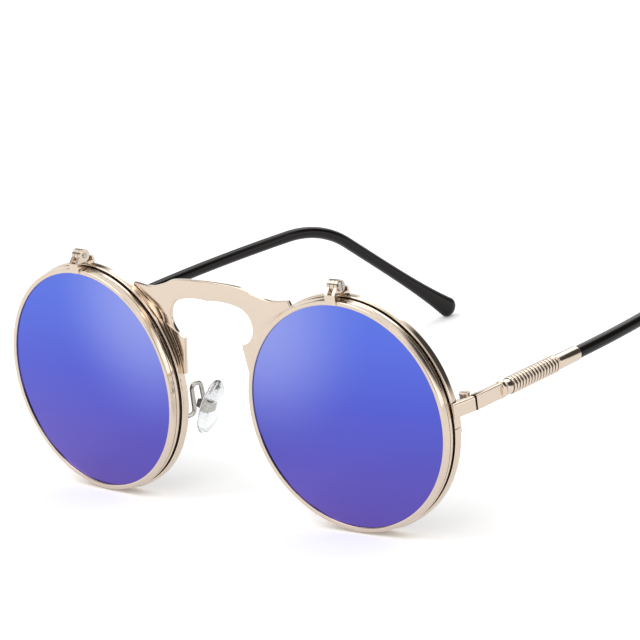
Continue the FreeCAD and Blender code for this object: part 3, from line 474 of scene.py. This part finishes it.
def lens_shell(edge_r, edge_y, rings=40, steps=256):
    """Front dome from the middle to the edge, then the back dome from the edge to the middle."""
    front_r = edge_r * np.linspace(MIDDLE_SHARE, 1.0, rings)
    front_y = edge_y - dome(edge_r) + dome(front_r)
    radius = np.concatenate([front_r, front_r[::-1]])
    depth = np.concatenate([front_y, front_y[::-1] + LENS_THICKNESS])
    sections = radius[:, None, None] * circle(1.0, 1.0, steps)[None]
    return sweep(on_axis(depth), SIDEWAYS, UPWARD, sections)


for side in SIDES:
    domes = [lens_shell(FLIP_OPENING_R + LENS_BITE, LENS_SETBACK)]
    flip_lens = piece("flip_lens", side, f"flip_{side}", domes, EYE, mirror)
    coat_faces(flip_lens, smoke, facing(flip_lens, side, eye_axes[1]) > -FACE_LIMIT)
    domes = [lens_shell(BASE_OPENING_R + LENS_BITE, base_lens_y)]
    piece("base_lens", side, "front", domes, EYE, clear)

# %% [markdown]
# ## Bridge
# The bridge is one stamped plate, bent to meet both rims and soldered to them. Its lower edge is the nose
# arch with a barb on each side, and its upper edge is the brow line and then the rim. A filled curve with
# thickness would show its triangles in polished metal. Instead, stations run from one prong over the crown
# to the other, and a rounded section joins the two edges at each station.

# %% Bridge outline
FACE_WRAP = math.radians(3.8)
PLATE_FRONT_Y = 3.55
PLATE_THICKNESS = 1.0
PLATE_BEND_R = 60.0
PLATE_ROUND = 0.3
PLATE_SINK = 0.15
BROW_SHARES = ((0.0, 0.99), (0.2957, 0.968), (0.4898, 0.916), (0.7042, 0.876), (0.893, 0.888))
ARCH_TOP_SHARES = (0.0, 0.822)
ARCH_CORNER_SHARES = (0.385, 0.8)
ARCH_SIDE_SHARES = (0.715, 0.624)
ARCH_BARB_SHARES = (0.5987, 0.464)
PRONG_TIP_SHARES = (0.8669, 0.144)
ARCH_CROWN_SHARE = 0.1
ARCH_BULGE_SHARE = 0.35
STATIONS = 60
TIP_STATIONS = 10


def outline_point(shares):
    """Share of the way across to the rim at that height, and the height as a share of the rim's radius."""
    height = shares[1] * BASE_RIM_R
    return np.array([shares[0] * (EYE_X - math.sqrt(BASE_RIM_R ** 2 - height ** 2)), height])


def run(start, end, bulge=0.0, steps=STATIONS):
    """Parabola between two points: (1-t) A + t B + 4t(1-t) times a sideways offset."""
    t = np.linspace(0.0, 1.0, steps)[:, None]
    chord = end - start
    offset = np.array([-chord[1], chord[0]]) * bulge / 2
    return (1 - t) * start + t * end + 4 * t * (1 - t) * offset


def through(points, steps):
    """Catmull-Rom curve: a cubic between each two points, with tangents from their neighbours."""
    points = np.asarray(points)
    before = points[1:2] * [-1, 1]
    after = 2 * points[-1:] - points[-2:-1]
    knots = np.concatenate([before, points, after])
    t = np.linspace(0.0, len(points) - 1, steps)
    first = np.minimum(t.astype(int), len(points) - 2)
    u = (t - first)[:, None]
    a, b, c, d = (knots[first + i] for i in range(4))
    return b + u / 2 * (c - a + u * (2 * a - 5 * b + 4 * c - d + u * (3 * (b - c) + d - a)))


def rim_arc(start_angle, stop_angle, steps):
    """Part of the rim's circle seen from the front, sunk a little into the rim."""
    angle = np.linspace(start_angle, stop_angle, steps)
    radius = BASE_RIM_R - PLATE_SINK
    across = EYE_X - PLATE_FRONT_Y * math.sin(FACE_WRAP) - radius * math.cos(FACE_WRAP) * np.cos(angle)
    return np.stack([across, radius * np.sin(angle)], axis=-1)


def both_halves(edge):
    """The mirror image of an edge from its far end to the middle, then the edge itself."""
    return np.concatenate([edge[:0:-1] * [-1, 1], edge])


arch_keys = [ARCH_TOP_SHARES, ARCH_CORNER_SHARES, ARCH_SIDE_SHARES, ARCH_BARB_SHARES, PRONG_TIP_SHARES]
arch_top, arch_corner, arch_side, arch_barb, prong = (outline_point(shares) for shares in arch_keys)
arch_runs = [run(arch_top, arch_corner, ARCH_CROWN_SHARE), run(arch_corner, arch_side, ARCH_BULGE_SHARE)]
arch_runs = arch_runs + [run(arch_side, arch_barb, ARCH_BULGE_SHARE), run(arch_barb, prong)]
inner_edge = both_halves(np.concatenate(arch_runs))

brow = through([outline_point(shares) for shares in BROW_SHARES], 2 * STATIONS - TIP_STATIONS)
meet_angle = math.atan2(brow[-1, 1], EYE_X - brow[-1, 0])
rim_run = rim_arc(meet_angle, math.asin(prong[1] / BASE_RIM_R), 2 * STATIONS)
brow_tip = run(brow[-1], rim_run[0], 0.0, TIP_STATIONS)
outer_edge = both_halves(np.concatenate([brow, brow_tip, rim_run]))
print("bridge of", len(outer_edge), "stations")

# %% Bridge plate
SECTION_WIDTH = 4.0
PLATE_SHARP = 50.0
CORNER_STEPS = 6


def plate_depth(across, depth):
    """Plan of the bent plate: an arc about the nose that runs on into straight wings."""
    slope = math.tan(FACE_WRAP)
    centre = PLATE_FRONT_Y / math.cos(FACE_WRAP) - EYE_X * slope + PLATE_BEND_R / math.cos(FACE_WRAP)
    radius = PLATE_BEND_R - depth
    bend = radius * math.sin(FACE_WRAP)
    wing = centre - radius * math.cos(FACE_WRAP) + (np.abs(across) - bend) * slope
    arc = centre - np.sqrt(np.maximum(radius ** 2 - across ** 2, 0.0))
    return np.where(np.abs(across) < bend, arc, wing)


section = [(0.0, 0.0), (SECTION_WIDTH, 0.0), (SECTION_WIDTH, PLATE_THICKNESS), (0.0, PLATE_THICKNESS)]
section = softened(section, PLATE_ROUND, CORNER_STEPS)
at_outer = section[:, 0] > SECTION_WIDTH / 2
inset = section[:, 0] - SECTION_WIDTH * at_outer
ruling = outer_edge - inner_edge
length = np.linalg.norm(ruling, axis=-1, keepdims=True)
along_ruling = inset[None, :] + at_outer[None, :] * length
flat = inner_edge[:, None, :] + (ruling / length)[:, None, :] * along_ruling[..., None]
plate_y = plate_depth(flat[..., 0], section[None, :, 1])
plate = [shell(np.stack([flat[..., 0], plate_y, flat[..., 1]], axis=-1))]
piece("bridge_plate", None, "front", plate, FRONT, gold, PLATE_SHARP)

# %% [markdown]
# ## Nose pads
# A nose pad is moulded from clear silicone around a metal box. A squashed sphere would be too round, so an
# oval is scaled through the thickness by a power curve, which gives flat faces with a full, rounded edge.

# %% Nose pads
PAD_PLACE = np.array([9.9, 8.8, -5.9])
PAD_HEIGHT = 13.0
PAD_WIDTH = 7.4
PAD_THICKNESS = 2.8
PAD_FLARE = math.radians(24.0)
PAD_TURN = math.radians(8.0)
PAD_POWER = 2.6
PAD_NARROWING_SHARE = 0.1
FORWARD = np.array([0.0, 1.0, 0.0])

# Just short of a right angle, so that the last ring does not shrink to a point
POLE_ANGLE = 0.49 * math.pi

# Moulded silicone bends light like a soft glass, and the mould leaves it a little cloudy and uneven
silicone = finish("moulded clear silicone", ("#EDEFF0", "#F2F4F5"), grain=2.0, roughness=(0.04, 0.09),
                  relief=0.03, IOR=1.41, Transmission_Weight=0.95)


def spun(axis, angle):
    """Rotation matrix for a turn by an angle about one coordinate axis."""
    return np.array(Matrix.Rotation(angle, 3, axis))


def pad_shell(steps=40, round_steps=96):
    """Oval scaled by (1 - |x|^p)^(1/p) through the thickness, and narrower at the top."""
    share = np.sin(np.linspace(-POLE_ANGLE, POLE_ANGLE, steps))
    scale = (1 - np.abs(share) ** PAD_POWER) ** (1 / PAD_POWER)
    oval = circle(PAD_WIDTH / 2, PAD_HEIGHT / 2, round_steps)
    oval[:, 0] = oval[:, 0] * (1 - PAD_NARROWING_SHARE * oval[:, 1] / PAD_HEIGHT * 2)
    centres = share[:, None] * PAD_THICKNESS / 2 * SIDEWAYS
    return sweep(centres, FORWARD, UPWARD, scale[:, None, None] * oval[None])


pad_axes = (spun("Z", -PAD_TURN) @ spun("Y", -PAD_FLARE)).T @ front_axes
PAD = (placed(PAD_PLACE, FRONT), pad_axes)
for side in SIDES:
    piece("nose_pad", side, "front", [pad_shell()], PAD, silicone)

# %% [markdown]
# ## Temple bars
# Each temple starts as a flat bar with a raised rib and a round collar, and goes on as a core wire that
# carries a spring and a sleeve. Cubes and cylinders with bevels would do, but one function that carries any
# outline along the bar, with rounded ends, makes all four forms alike. The end face at the hinge's split is
# painted dark as the shade in the split, so it shows as a dark line.

# %% Temple bars
TEMPLE_SPLAY = math.radians(1.55)
HINGE_TO_BAR = 2.05
SPLIT_GAP = 0.55
BAR_HEIGHT = 3.1
BAR_THICKNESS = 1.6
BAR_ROUND = 0.3
BAR_END_ROUND = 0.15
RIB_START = 8.0
RIB_LENGTH = 1.4
RIB_HEIGHT = 3.7
RIB_THICKNESS = 2.7
RIB_ROUND = 0.4
COLLAR_END = 11.0
COLLAR_R = 1.6
COLLAR_ROUND = 0.25
CORE_R = 1.12
CORE_ROUND = 0.1
FERRULE_END = 32.75
SEAT = 0.2
EDGE_LIMIT = 0.3


def straight(outline, start, stop, edge, steps=6):
    """Bar along Y between two places, with both ends rounded by an edge radius.

    The outline shrinks by edge (1 - sin q) while the place moves by edge (1 - cos q)."""
    q = np.linspace(0.0, math.pi / 2, steps)
    inset = np.concatenate([edge * (1 - np.sin(q)), edge * (1 - np.sin(q[::-1]))])
    depth = np.concatenate([start + edge * (1 - np.cos(q)), stop - edge * (1 - np.cos(q[::-1]))])
    half = np.abs(outline).max(axis=0)
    sections = outline[None] * (1 - inset[:, None, None] / half)
    return sweep(on_axis(depth), SIDEWAYS, UPWARD, sections)


def bar_shells():
    """Rounded bar, oval rib, round collar and round core, one after another along Y."""
    half_x = BAR_THICKNESS / 2
    half_z = BAR_HEIGHT / 2
    corners = [(-half_x, -half_z), (half_x, -half_z), (half_x, half_z), (-half_x, half_z)]
    box = softened(corners, BAR_ROUND, CORNER_STEPS)
    rib_oval = circle(RIB_THICKNESS / 2, RIB_HEIGHT / 2)
    rib_end = RIB_START + RIB_LENGTH
    bar = straight(box, SPLIT_GAP / 2, RIB_START + SEAT, BAR_END_ROUND)
    rib = straight(rib_oval, RIB_START, rib_end, RIB_ROUND)
    collar = straight(circle(COLLAR_R, COLLAR_R), rib_end - SEAT, COLLAR_END, COLLAR_ROUND)
    core = straight(circle(CORE_R, CORE_R), COLLAR_END - SEAT, FERRULE_END, CORE_ROUND)
    return [bar, rib, collar, core]


temple_axes = spun("Z", -TEMPLE_SPLAY).T @ front_axes
TEMPLE = (np.array(temple_hinge["pos_m"]) / MM + HINGE_TO_BAR * temple_axes[0], temple_axes)
for side in SIDES:
    shells = bar_shells()
    bar = piece("temple_bar", side, f"temple_{side}", shells, TEMPLE, gold)
    # Painted shade: the bar's end face at the split gets the dark plating, so the split reads as a dark line
    split_painted_shade = facing(bar, side, temple_axes[1]) < -EDGE_LIMIT
    split_painted_shade[len(shells[0][1]) + len(shells[0][2]):] = False
    coat_faces(bar, painted_shade_gold, split_painted_shade)

# %% [markdown]
# ## Springs and ferrules
# A flat wire is wound round the core as a coil spring with closed ends, and a slit sleeve holds the plastic
# tip behind it. A Screw modifier could wind the wire, but it would not lay the end turns flat. The coils'
# flanks are painted dark as the shade between the coils.

# %% Springs and ferrules
SPRING_END = 25.9
SPRING_OUTER_R = 1.83
SPRING_TURNS = 15
SPRING_AXIAL = 0.38
SPRING_RADIAL = 0.36
SPRING_STEPS = 48
WIRE_STEPS = 24
FERRULE_R = 1.6
FERRULE_SLIT = 0.2
FERRULE_ROUND = 0.2
FERRULE_SEGMENTS = 96


def spring_shell():
    """Helix about Y with a flat turn at each end: (R cos a, y, R sin a), with an oval wire section.

    The place y climbs evenly with the angle a from the end of the first turn to the start of the last."""
    turns = SPRING_TURNS + 2
    angle = np.linspace(0.0, 2 * math.pi * turns, turns * SPRING_STEPS + 1)
    coil_r = SPRING_OUTER_R - SPRING_RADIAL
    start = COLLAR_END + SPRING_AXIAL
    travel = SPRING_END - SPRING_AXIAL - start
    depth = start + travel * np.clip((angle / (2 * math.pi) - 1) / SPRING_TURNS, 0.0, 1.0)
    outward = np.stack([np.cos(angle), 0 * angle, np.sin(angle)], axis=-1)
    wire = np.broadcast_to(circle(SPRING_RADIAL, SPRING_AXIAL, WIRE_STEPS), (len(angle), WIRE_STEPS, 2))
    return sweep(on_axis(depth) + coil_r * outward, outward, FORWARD, wire)


def ferrule_shell():
    """Sleeve turned from one lip of its slit round to the other."""
    wall = [(CORE_R, SPRING_END), (FERRULE_R, SPRING_END), (FERRULE_R, FERRULE_END), (CORE_R, FERRULE_END)]
    half_slit = math.asin(FERRULE_SLIT / 2 / FERRULE_R)
    start = math.pi / 2 + half_slit
    stop = start + 2 * (math.pi - half_slit)
    return lathe(softened(wall, FERRULE_ROUND, CORNER_STEPS), start, stop, FERRULE_SEGMENTS)


for side in SIDES:
    body = f"temple_{side}"
    spring = piece("spring", side, body, [spring_shell()], TEMPLE, gold)
    # Painted shade: the coils' flanks, which face along the temple, get the dark plating
    coat_faces(spring, painted_shade_gold, np.abs(facing(spring, side, temple_axes[1])) > FACE_LIMIT)
    piece("ferrule", side, body, [ferrule_shell()], TEMPLE, gold)

# %% [markdown]
# ## Temple tips
# The tips are black acetate tubes, bowed inwards along the head, bent down over the ear and widened into a
# paddle at the end. A bevelled curve could follow that line, but its section could not grow from a circle
# into a flat oval. So the line is built from an arc, a bend and a straight drop, and the section grows
# along it.

# %% Temple tips
TIP_TUBE_R = 1.35
BOW_LENGTH = 48.8
TIP_BOW = math.radians(11.4)
BEND_R = 27.6
BEND_DROP = math.radians(39.7)
DROP_LENGTH = 51.5
TIP_TOE_OUT = math.radians(5.5)
PADDLE_HEIGHT = 4.8
PADDLE_THICKNESS = 2.9
PADDLE_CAP = 2.4
PADDLE_GROWTH_POWER = 4
CAP_STEPS = 16
TIP_SHARP = 70.0

# Acetate is tumbled to a soft shine, which leaves long narrow highlights and a slightly uneven surface
acetate = finish("tumbled black acetate", ("#120E0D", "#181412"), grain=0.6, roughness=(0.12, 0.18),
                 relief=0.004, Specular_IOR_Level=0.24)


def tip_line(steps):
    """Places, directions and side vectors along the tip, and the shares of its paddle and of its cap.

    The bow is an arc in plan, the bend an arc in the turned plane, and the drop a straight line."""
    toe = np.array([math.cos(TIP_TOE_OUT), 0.0, math.sin(TIP_TOE_OUT)])
    fall = np.array([math.sin(TIP_TOE_OUT), 0.0, -math.cos(TIP_TOE_OUT)])
    bow_r = BOW_LENGTH / TIP_BOW
    bow = np.linspace(0.0, TIP_BOW, steps)
    bow_place = np.stack([bow_r * np.cos(bow) - bow_r, FERRULE_END + bow_r * np.sin(bow), 0 * bow], axis=-1)
    bow_ahead = np.stack([-np.sin(bow), np.cos(bow), 0 * bow], axis=-1)
    bow_side = np.stack([np.cos(bow) * toe[0], np.sin(bow) * toe[0], 0 * bow + toe[2]], axis=-1)

    bend = np.linspace(0.0, BEND_DROP, steps)[1:, None]
    bend_place = BEND_R * (np.sin(bend) * FORWARD + (1 - np.cos(bend)) * fall)
    bend_ahead = np.cos(bend) * FORWARD + np.sin(bend) * fall

    drop = DROP_LENGTH - BEND_R * math.tan(BEND_DROP / 2)
    paddle = np.linspace(0.0, 1.0, steps)[1:]
    cap = np.sin(np.linspace(0.0, POLE_ANGLE, CAP_STEPS))[1:]
    distance = np.concatenate([paddle * (drop - PADDLE_CAP), drop - PADDLE_CAP + cap * PADDLE_CAP])
    drop_place = bend_place[-1] + distance[:, None] * bend_ahead[-1]
    drop_ahead = np.broadcast_to(bend_ahead[-1], drop_place.shape)

    turn = spun("Z", TIP_BOW).T
    centres = np.concatenate([bow_place, np.concatenate([bend_place, drop_place]) @ turn + bow_place[-1]])
    ahead = np.concatenate([bow_ahead, np.concatenate([bend_ahead, drop_ahead]) @ turn])
    across = np.concatenate([bow_side, np.broadcast_to(toe @ turn, (len(centres) - steps, 3))])
    return centres, ahead, across, paddle, cap


def tip_shell(steps=48, round_steps=48):
    """Round tube, then an oval that grows with a power of the way down and closes like an ellipse."""
    centres, ahead, across, paddle, cap = tip_line(steps)
    growth = np.concatenate([np.zeros(2 * steps - 1), paddle ** PADDLE_GROWTH_POWER, np.ones(len(cap))])
    closing = np.concatenate([np.ones(3 * steps - 2), np.sqrt(1 - cap ** 2)])
    half_width = (TIP_TUBE_R + growth * (PADDLE_THICKNESS / 2 - TIP_TUBE_R)) * closing
    half_height = (TIP_TUBE_R + growth * (PADDLE_HEIGHT / 2 - TIP_TUBE_R)) * closing
    sizes = np.stack([half_width, half_height], axis=-1)[:, None, :]
    return sweep(centres, across, np.cross(across, ahead), sizes * circle(1.0, 1.0, round_steps)[None])


for side in SIDES:
    piece("temple_tip", side, f"temple_{side}", [tip_shell()], TEMPLE, acetate, TIP_SHARP)

# %% [markdown]
# ## Hardware
# Hinge leaves, closing blocks, pad arms and screws are small machined pieces. Their solids already have
# every knuckle, bore and slot, so they stay as they come from CAD and only get their metals.

# %% Hardware metals
NICKEL_PIECES = ("rim_lock_screw", "pad_screw", "pad_arm", "pad_box", "flip_screw")
GOLD_PIECES = (
    "front_hinge", "rear_hinge", "flip_bracket", "flip_leaf",
    "rim_lock_upper", "rim_lock_lower", "temple_screw",
)
ROUND_PIECES = ("end_piece",)

for names, material in ((NICKEL_PIECES, nickel), (GOLD_PIECES, small_gold), (ROUND_PIECES, round_gold)):
    for name in names:
        for side in SIDES:
            mesh = nodes[f"{name}_{side}"].data
            mesh.materials.clear()
            mesh.materials.append(material)
    print(material.name, "on", len(names) * len(SIDES), "nodes")

# %% [markdown]
# ## Camera
# The photograph was taken with a long lens from the front left of the wearer, a little above. A camera could
# be turned by hand until it fits, but an azimuth, an elevation and a roll say the same in three numbers.

# %% Camera
FOCAL_PX = 3926.86
IMAGE_PX = 640
SENSOR_MM = 36.0
AZIMUTH = math.radians(41.92)
ELEVATION = math.radians(14.86)
ROLL = math.radians(-5.66)
DISTANCE = 803.4
TARGET_FROM_EYE = np.array([-17.69, 15.0, 14.51])

ground = np.array([math.sin(AZIMUTH), -math.cos(AZIMUTH), 0.0])
away = ground * math.cos(ELEVATION) + UPWARD * math.sin(ELEVATION)
level = np.array([math.cos(AZIMUTH), math.sin(AZIMUTH), 0.0])
upright = np.cross(away, level)
camera_x = level * math.cos(ROLL) + upright * math.sin(ROLL)
camera_y = upright * math.cos(ROLL) - level * math.sin(ROLL)
camera_place = (eye_origin + TARGET_FROM_EYE + away * DISTANCE) * MM
camera_matrix = np.eye(4)
camera_matrix[:3] = np.stack([camera_x, camera_y, away, camera_place], axis=-1)

scene = bpy.context.scene
camera_data = bpy.data.cameras.new("camera")
camera_data.sensor_width = SENSOR_MM
camera_data.lens = FOCAL_PX / IMAGE_PX * SENSOR_MM
camera = bpy.data.objects.new("camera", camera_data)
camera.matrix_world = Matrix(camera_matrix.tolist())
scene.collection.objects.link(camera)
scene.camera = camera
print("camera at", np.round(camera_place, 3))

# %% [markdown]
# ## Floor
# The glasses stand on a white sheet. More light would also make it white, but would bleach the metal, so the
# floor is lifted only for rays that the camera sees, directly or through clear plastic, and a little in
# reflections. It keeps a diffuse part, so the rims and tips still leave soft contact shadows.

# %% Floor
FLOOR_HALF = 3.0
FLOOR_GREY = 0.8
FLOOR_SEEN = 1.2
FLOOR_LIFT = 0.08
FLOOR_GLOSS_LIFT = 0.25


def ray_switches(tree):
    """Two shares: one for rays that should see plain white, and one for reflections."""
    path = add(tree, "ShaderNodeLightPath").outputs
    straight_rays = {0: path["Is Camera Ray"], 1: path["Is Transmission Ray"]}
    plain = add(tree, "ShaderNodeMath", straight_rays, operation="MAXIMUM").outputs[0]
    return plain, path["Is Glossy Ray"]


# White seamless paper: matte, with no grain to see at this distance
paper = bpy.data.materials.new("white seamless paper")
paper.use_nodes = True
tree = paper.node_tree
tree.nodes.remove(tree.nodes["Principled BSDF"])
plain, glossy = ray_switches(tree)
levels = {MIX_SHARE: plain, NUMBER_A: FLOOR_GREY, NUMBER_B: FLOOR_SEEN}
whiteness = add(tree, "ShaderNodeMix", levels).outputs[MIXED_NUMBER]
matte = add(tree, "ShaderNodeBsdfDiffuse", {"Color": whiteness}).outputs[0]
gloss_lift = add(tree, "ShaderNodeMath", {0: glossy, 1: FLOOR_GLOSS_LIFT}, operation="MULTIPLY").outputs[0]
levels = {MIX_SHARE: plain, NUMBER_A: gloss_lift, NUMBER_B: FLOOR_LIFT}
lift = add(tree, "ShaderNodeMix", levels).outputs[MIXED_NUMBER]
glow = add(tree, "ShaderNodeEmission", {"Strength": lift}).outputs[0]
both = add(tree, "ShaderNodeAddShader", {0: matte, 1: glow}).outputs[0]
tree.links.new(both, tree.nodes["Material Output"].inputs["Surface"])

floor_mesh = bpy.data.meshes.new("floor")
floor_corners = [(x * FLOOR_HALF, y * FLOOR_HALF, 0.0) for x, y in ((-1, -1), (1, -1), (1, 1), (-1, 1))]
floor_mesh.from_pydata(floor_corners, [], [(0, 1, 2, 3)])
floor_mesh.materials.append(paper)
floor = bpy.data.objects.new("floor", floor_mesh)
scene.collection.objects.link(floor)
print("floor", 2 * FLOOR_HALF, "m wide")

# %% [markdown]
# ## Room
# Polished metal shows only what stands around it. In an all-white room it would look like paint, so
# photographers stand dark cards and a bright panel beside the object, and their reflections draw dark and
# white lines along its edges. Planes could be those cards, but they would also shade the floor. Here the
# world itself turns dark or bright in a few directions, for reflections alone, and stays plain white to the
# camera.

# %% Room
ROOM_LEVEL = 0.65
CARD_LEVEL = 0.06
PANEL_LEVEL = 1.5
WHITE_LEVEL = 1.0

# Each card is the direction of its middle, the cosines where its soft edge starts and ends, and its level
REAR_CARD = ((0.46, 0.77, 0.43), 0.88, 0.95, CARD_LEVEL)
UPPER_CARD = ((-0.65, -0.55, 0.52), 0.95, 0.985, CARD_LEVEL)
CAMERA_CARD = ((0.65, -0.72, 0.26), 0.9, 0.96, CARD_LEVEL)
LEFT_CARD = ((-0.65, 0.54, 0.54), 0.97, 0.99, CARD_LEVEL)
FRONT_CARD = ((0.26, -0.72, 0.65), 0.92, 0.97, CARD_LEVEL)
SIDE_PANEL = ((0.88, 0.42, 0.22), 0.93, 0.97, PANEL_LEVEL)
CARDS = (REAR_CARD, UPPER_CARD, CAMERA_CARD, LEFT_CARD, FRONT_CARD, SIDE_PANEL)

world = bpy.data.worlds.new("white room")
scene.world = world
world.use_nodes = True
tree = world.node_tree
direction = add(tree, "ShaderNodeTexCoord").outputs["Generated"]
reflected = WHITE_LEVEL
for centre, edge_start, edge_end, inside in CARDS:
    towards = {0: direction, 1: unit(np.array(centre))}
    nearness = add(tree, "ShaderNodeVectorMath", towards, operation="DOT_PRODUCT").outputs["Value"]
    limits = {"From Min": edge_start, "From Max": edge_end, "To Min": WHITE_LEVEL, "To Max": inside}
    level_there = add(tree, "ShaderNodeMapRange", {"Value": nearness, **limits}).outputs["Result"]
    reflected = add(tree, "ShaderNodeMath", {0: level_there, 1: reflected}, operation="MULTIPLY").outputs[0]
plain, glossy = ray_switches(tree)
levels = {MIX_SHARE: glossy, NUMBER_A: ROOM_LEVEL, NUMBER_B: reflected}
lit = add(tree, "ShaderNodeMix", levels).outputs[MIXED_NUMBER]
levels = {MIX_SHARE: plain, NUMBER_A: lit, NUMBER_B: WHITE_LEVEL}
strength = add(tree, "ShaderNodeMix", levels).outputs[MIXED_NUMBER]
background = tree.nodes["Background"]
background.inputs["Color"].default_value = (1.0, 1.0, 1.0, 1.0)
tree.links.new(strength, background.inputs["Strength"])
scene.view_settings.view_transform = "Standard"
print("room level", ROOM_LEVEL)

# %% [markdown]
# ## Lamps
# A large soft key light from the upper left gives the lenses and lips their shine. A fill light on the
# camera's side and a light from behind put the bright lines on the metal's edges. Spot lamps would throw
# hard shadows, so all three are square area lamps.

# %% Lamps
# Each lamp is its name, its power in watts, its width in metres and its place in metres
KEY_LIGHT = ("key light", 2.6, 0.7, (-0.35, -0.4, 0.85))
FILL_LIGHT = ("fill light", 0.8, 0.4, (0.31, -0.62, 0.72))
BACK_LIGHT = ("back light", 1.0, 0.5, (-0.2, 0.66, 0.6))

for name, energy, size, lamp_place in (KEY_LIGHT, FILL_LIGHT, BACK_LIGHT):
    lamp_data = bpy.data.lights.new(name, "AREA")
    lamp_data.energy = energy
    lamp_data.size = size
    lamp = bpy.data.objects.new(name, lamp_data)
    lamp.location = lamp_place
    lamp.rotation_euler = (-Vector(lamp_place)).to_track_quat("-Z", "Y").to_euler()
    scene.collection.objects.link(lamp)
    print(name, energy, "W")
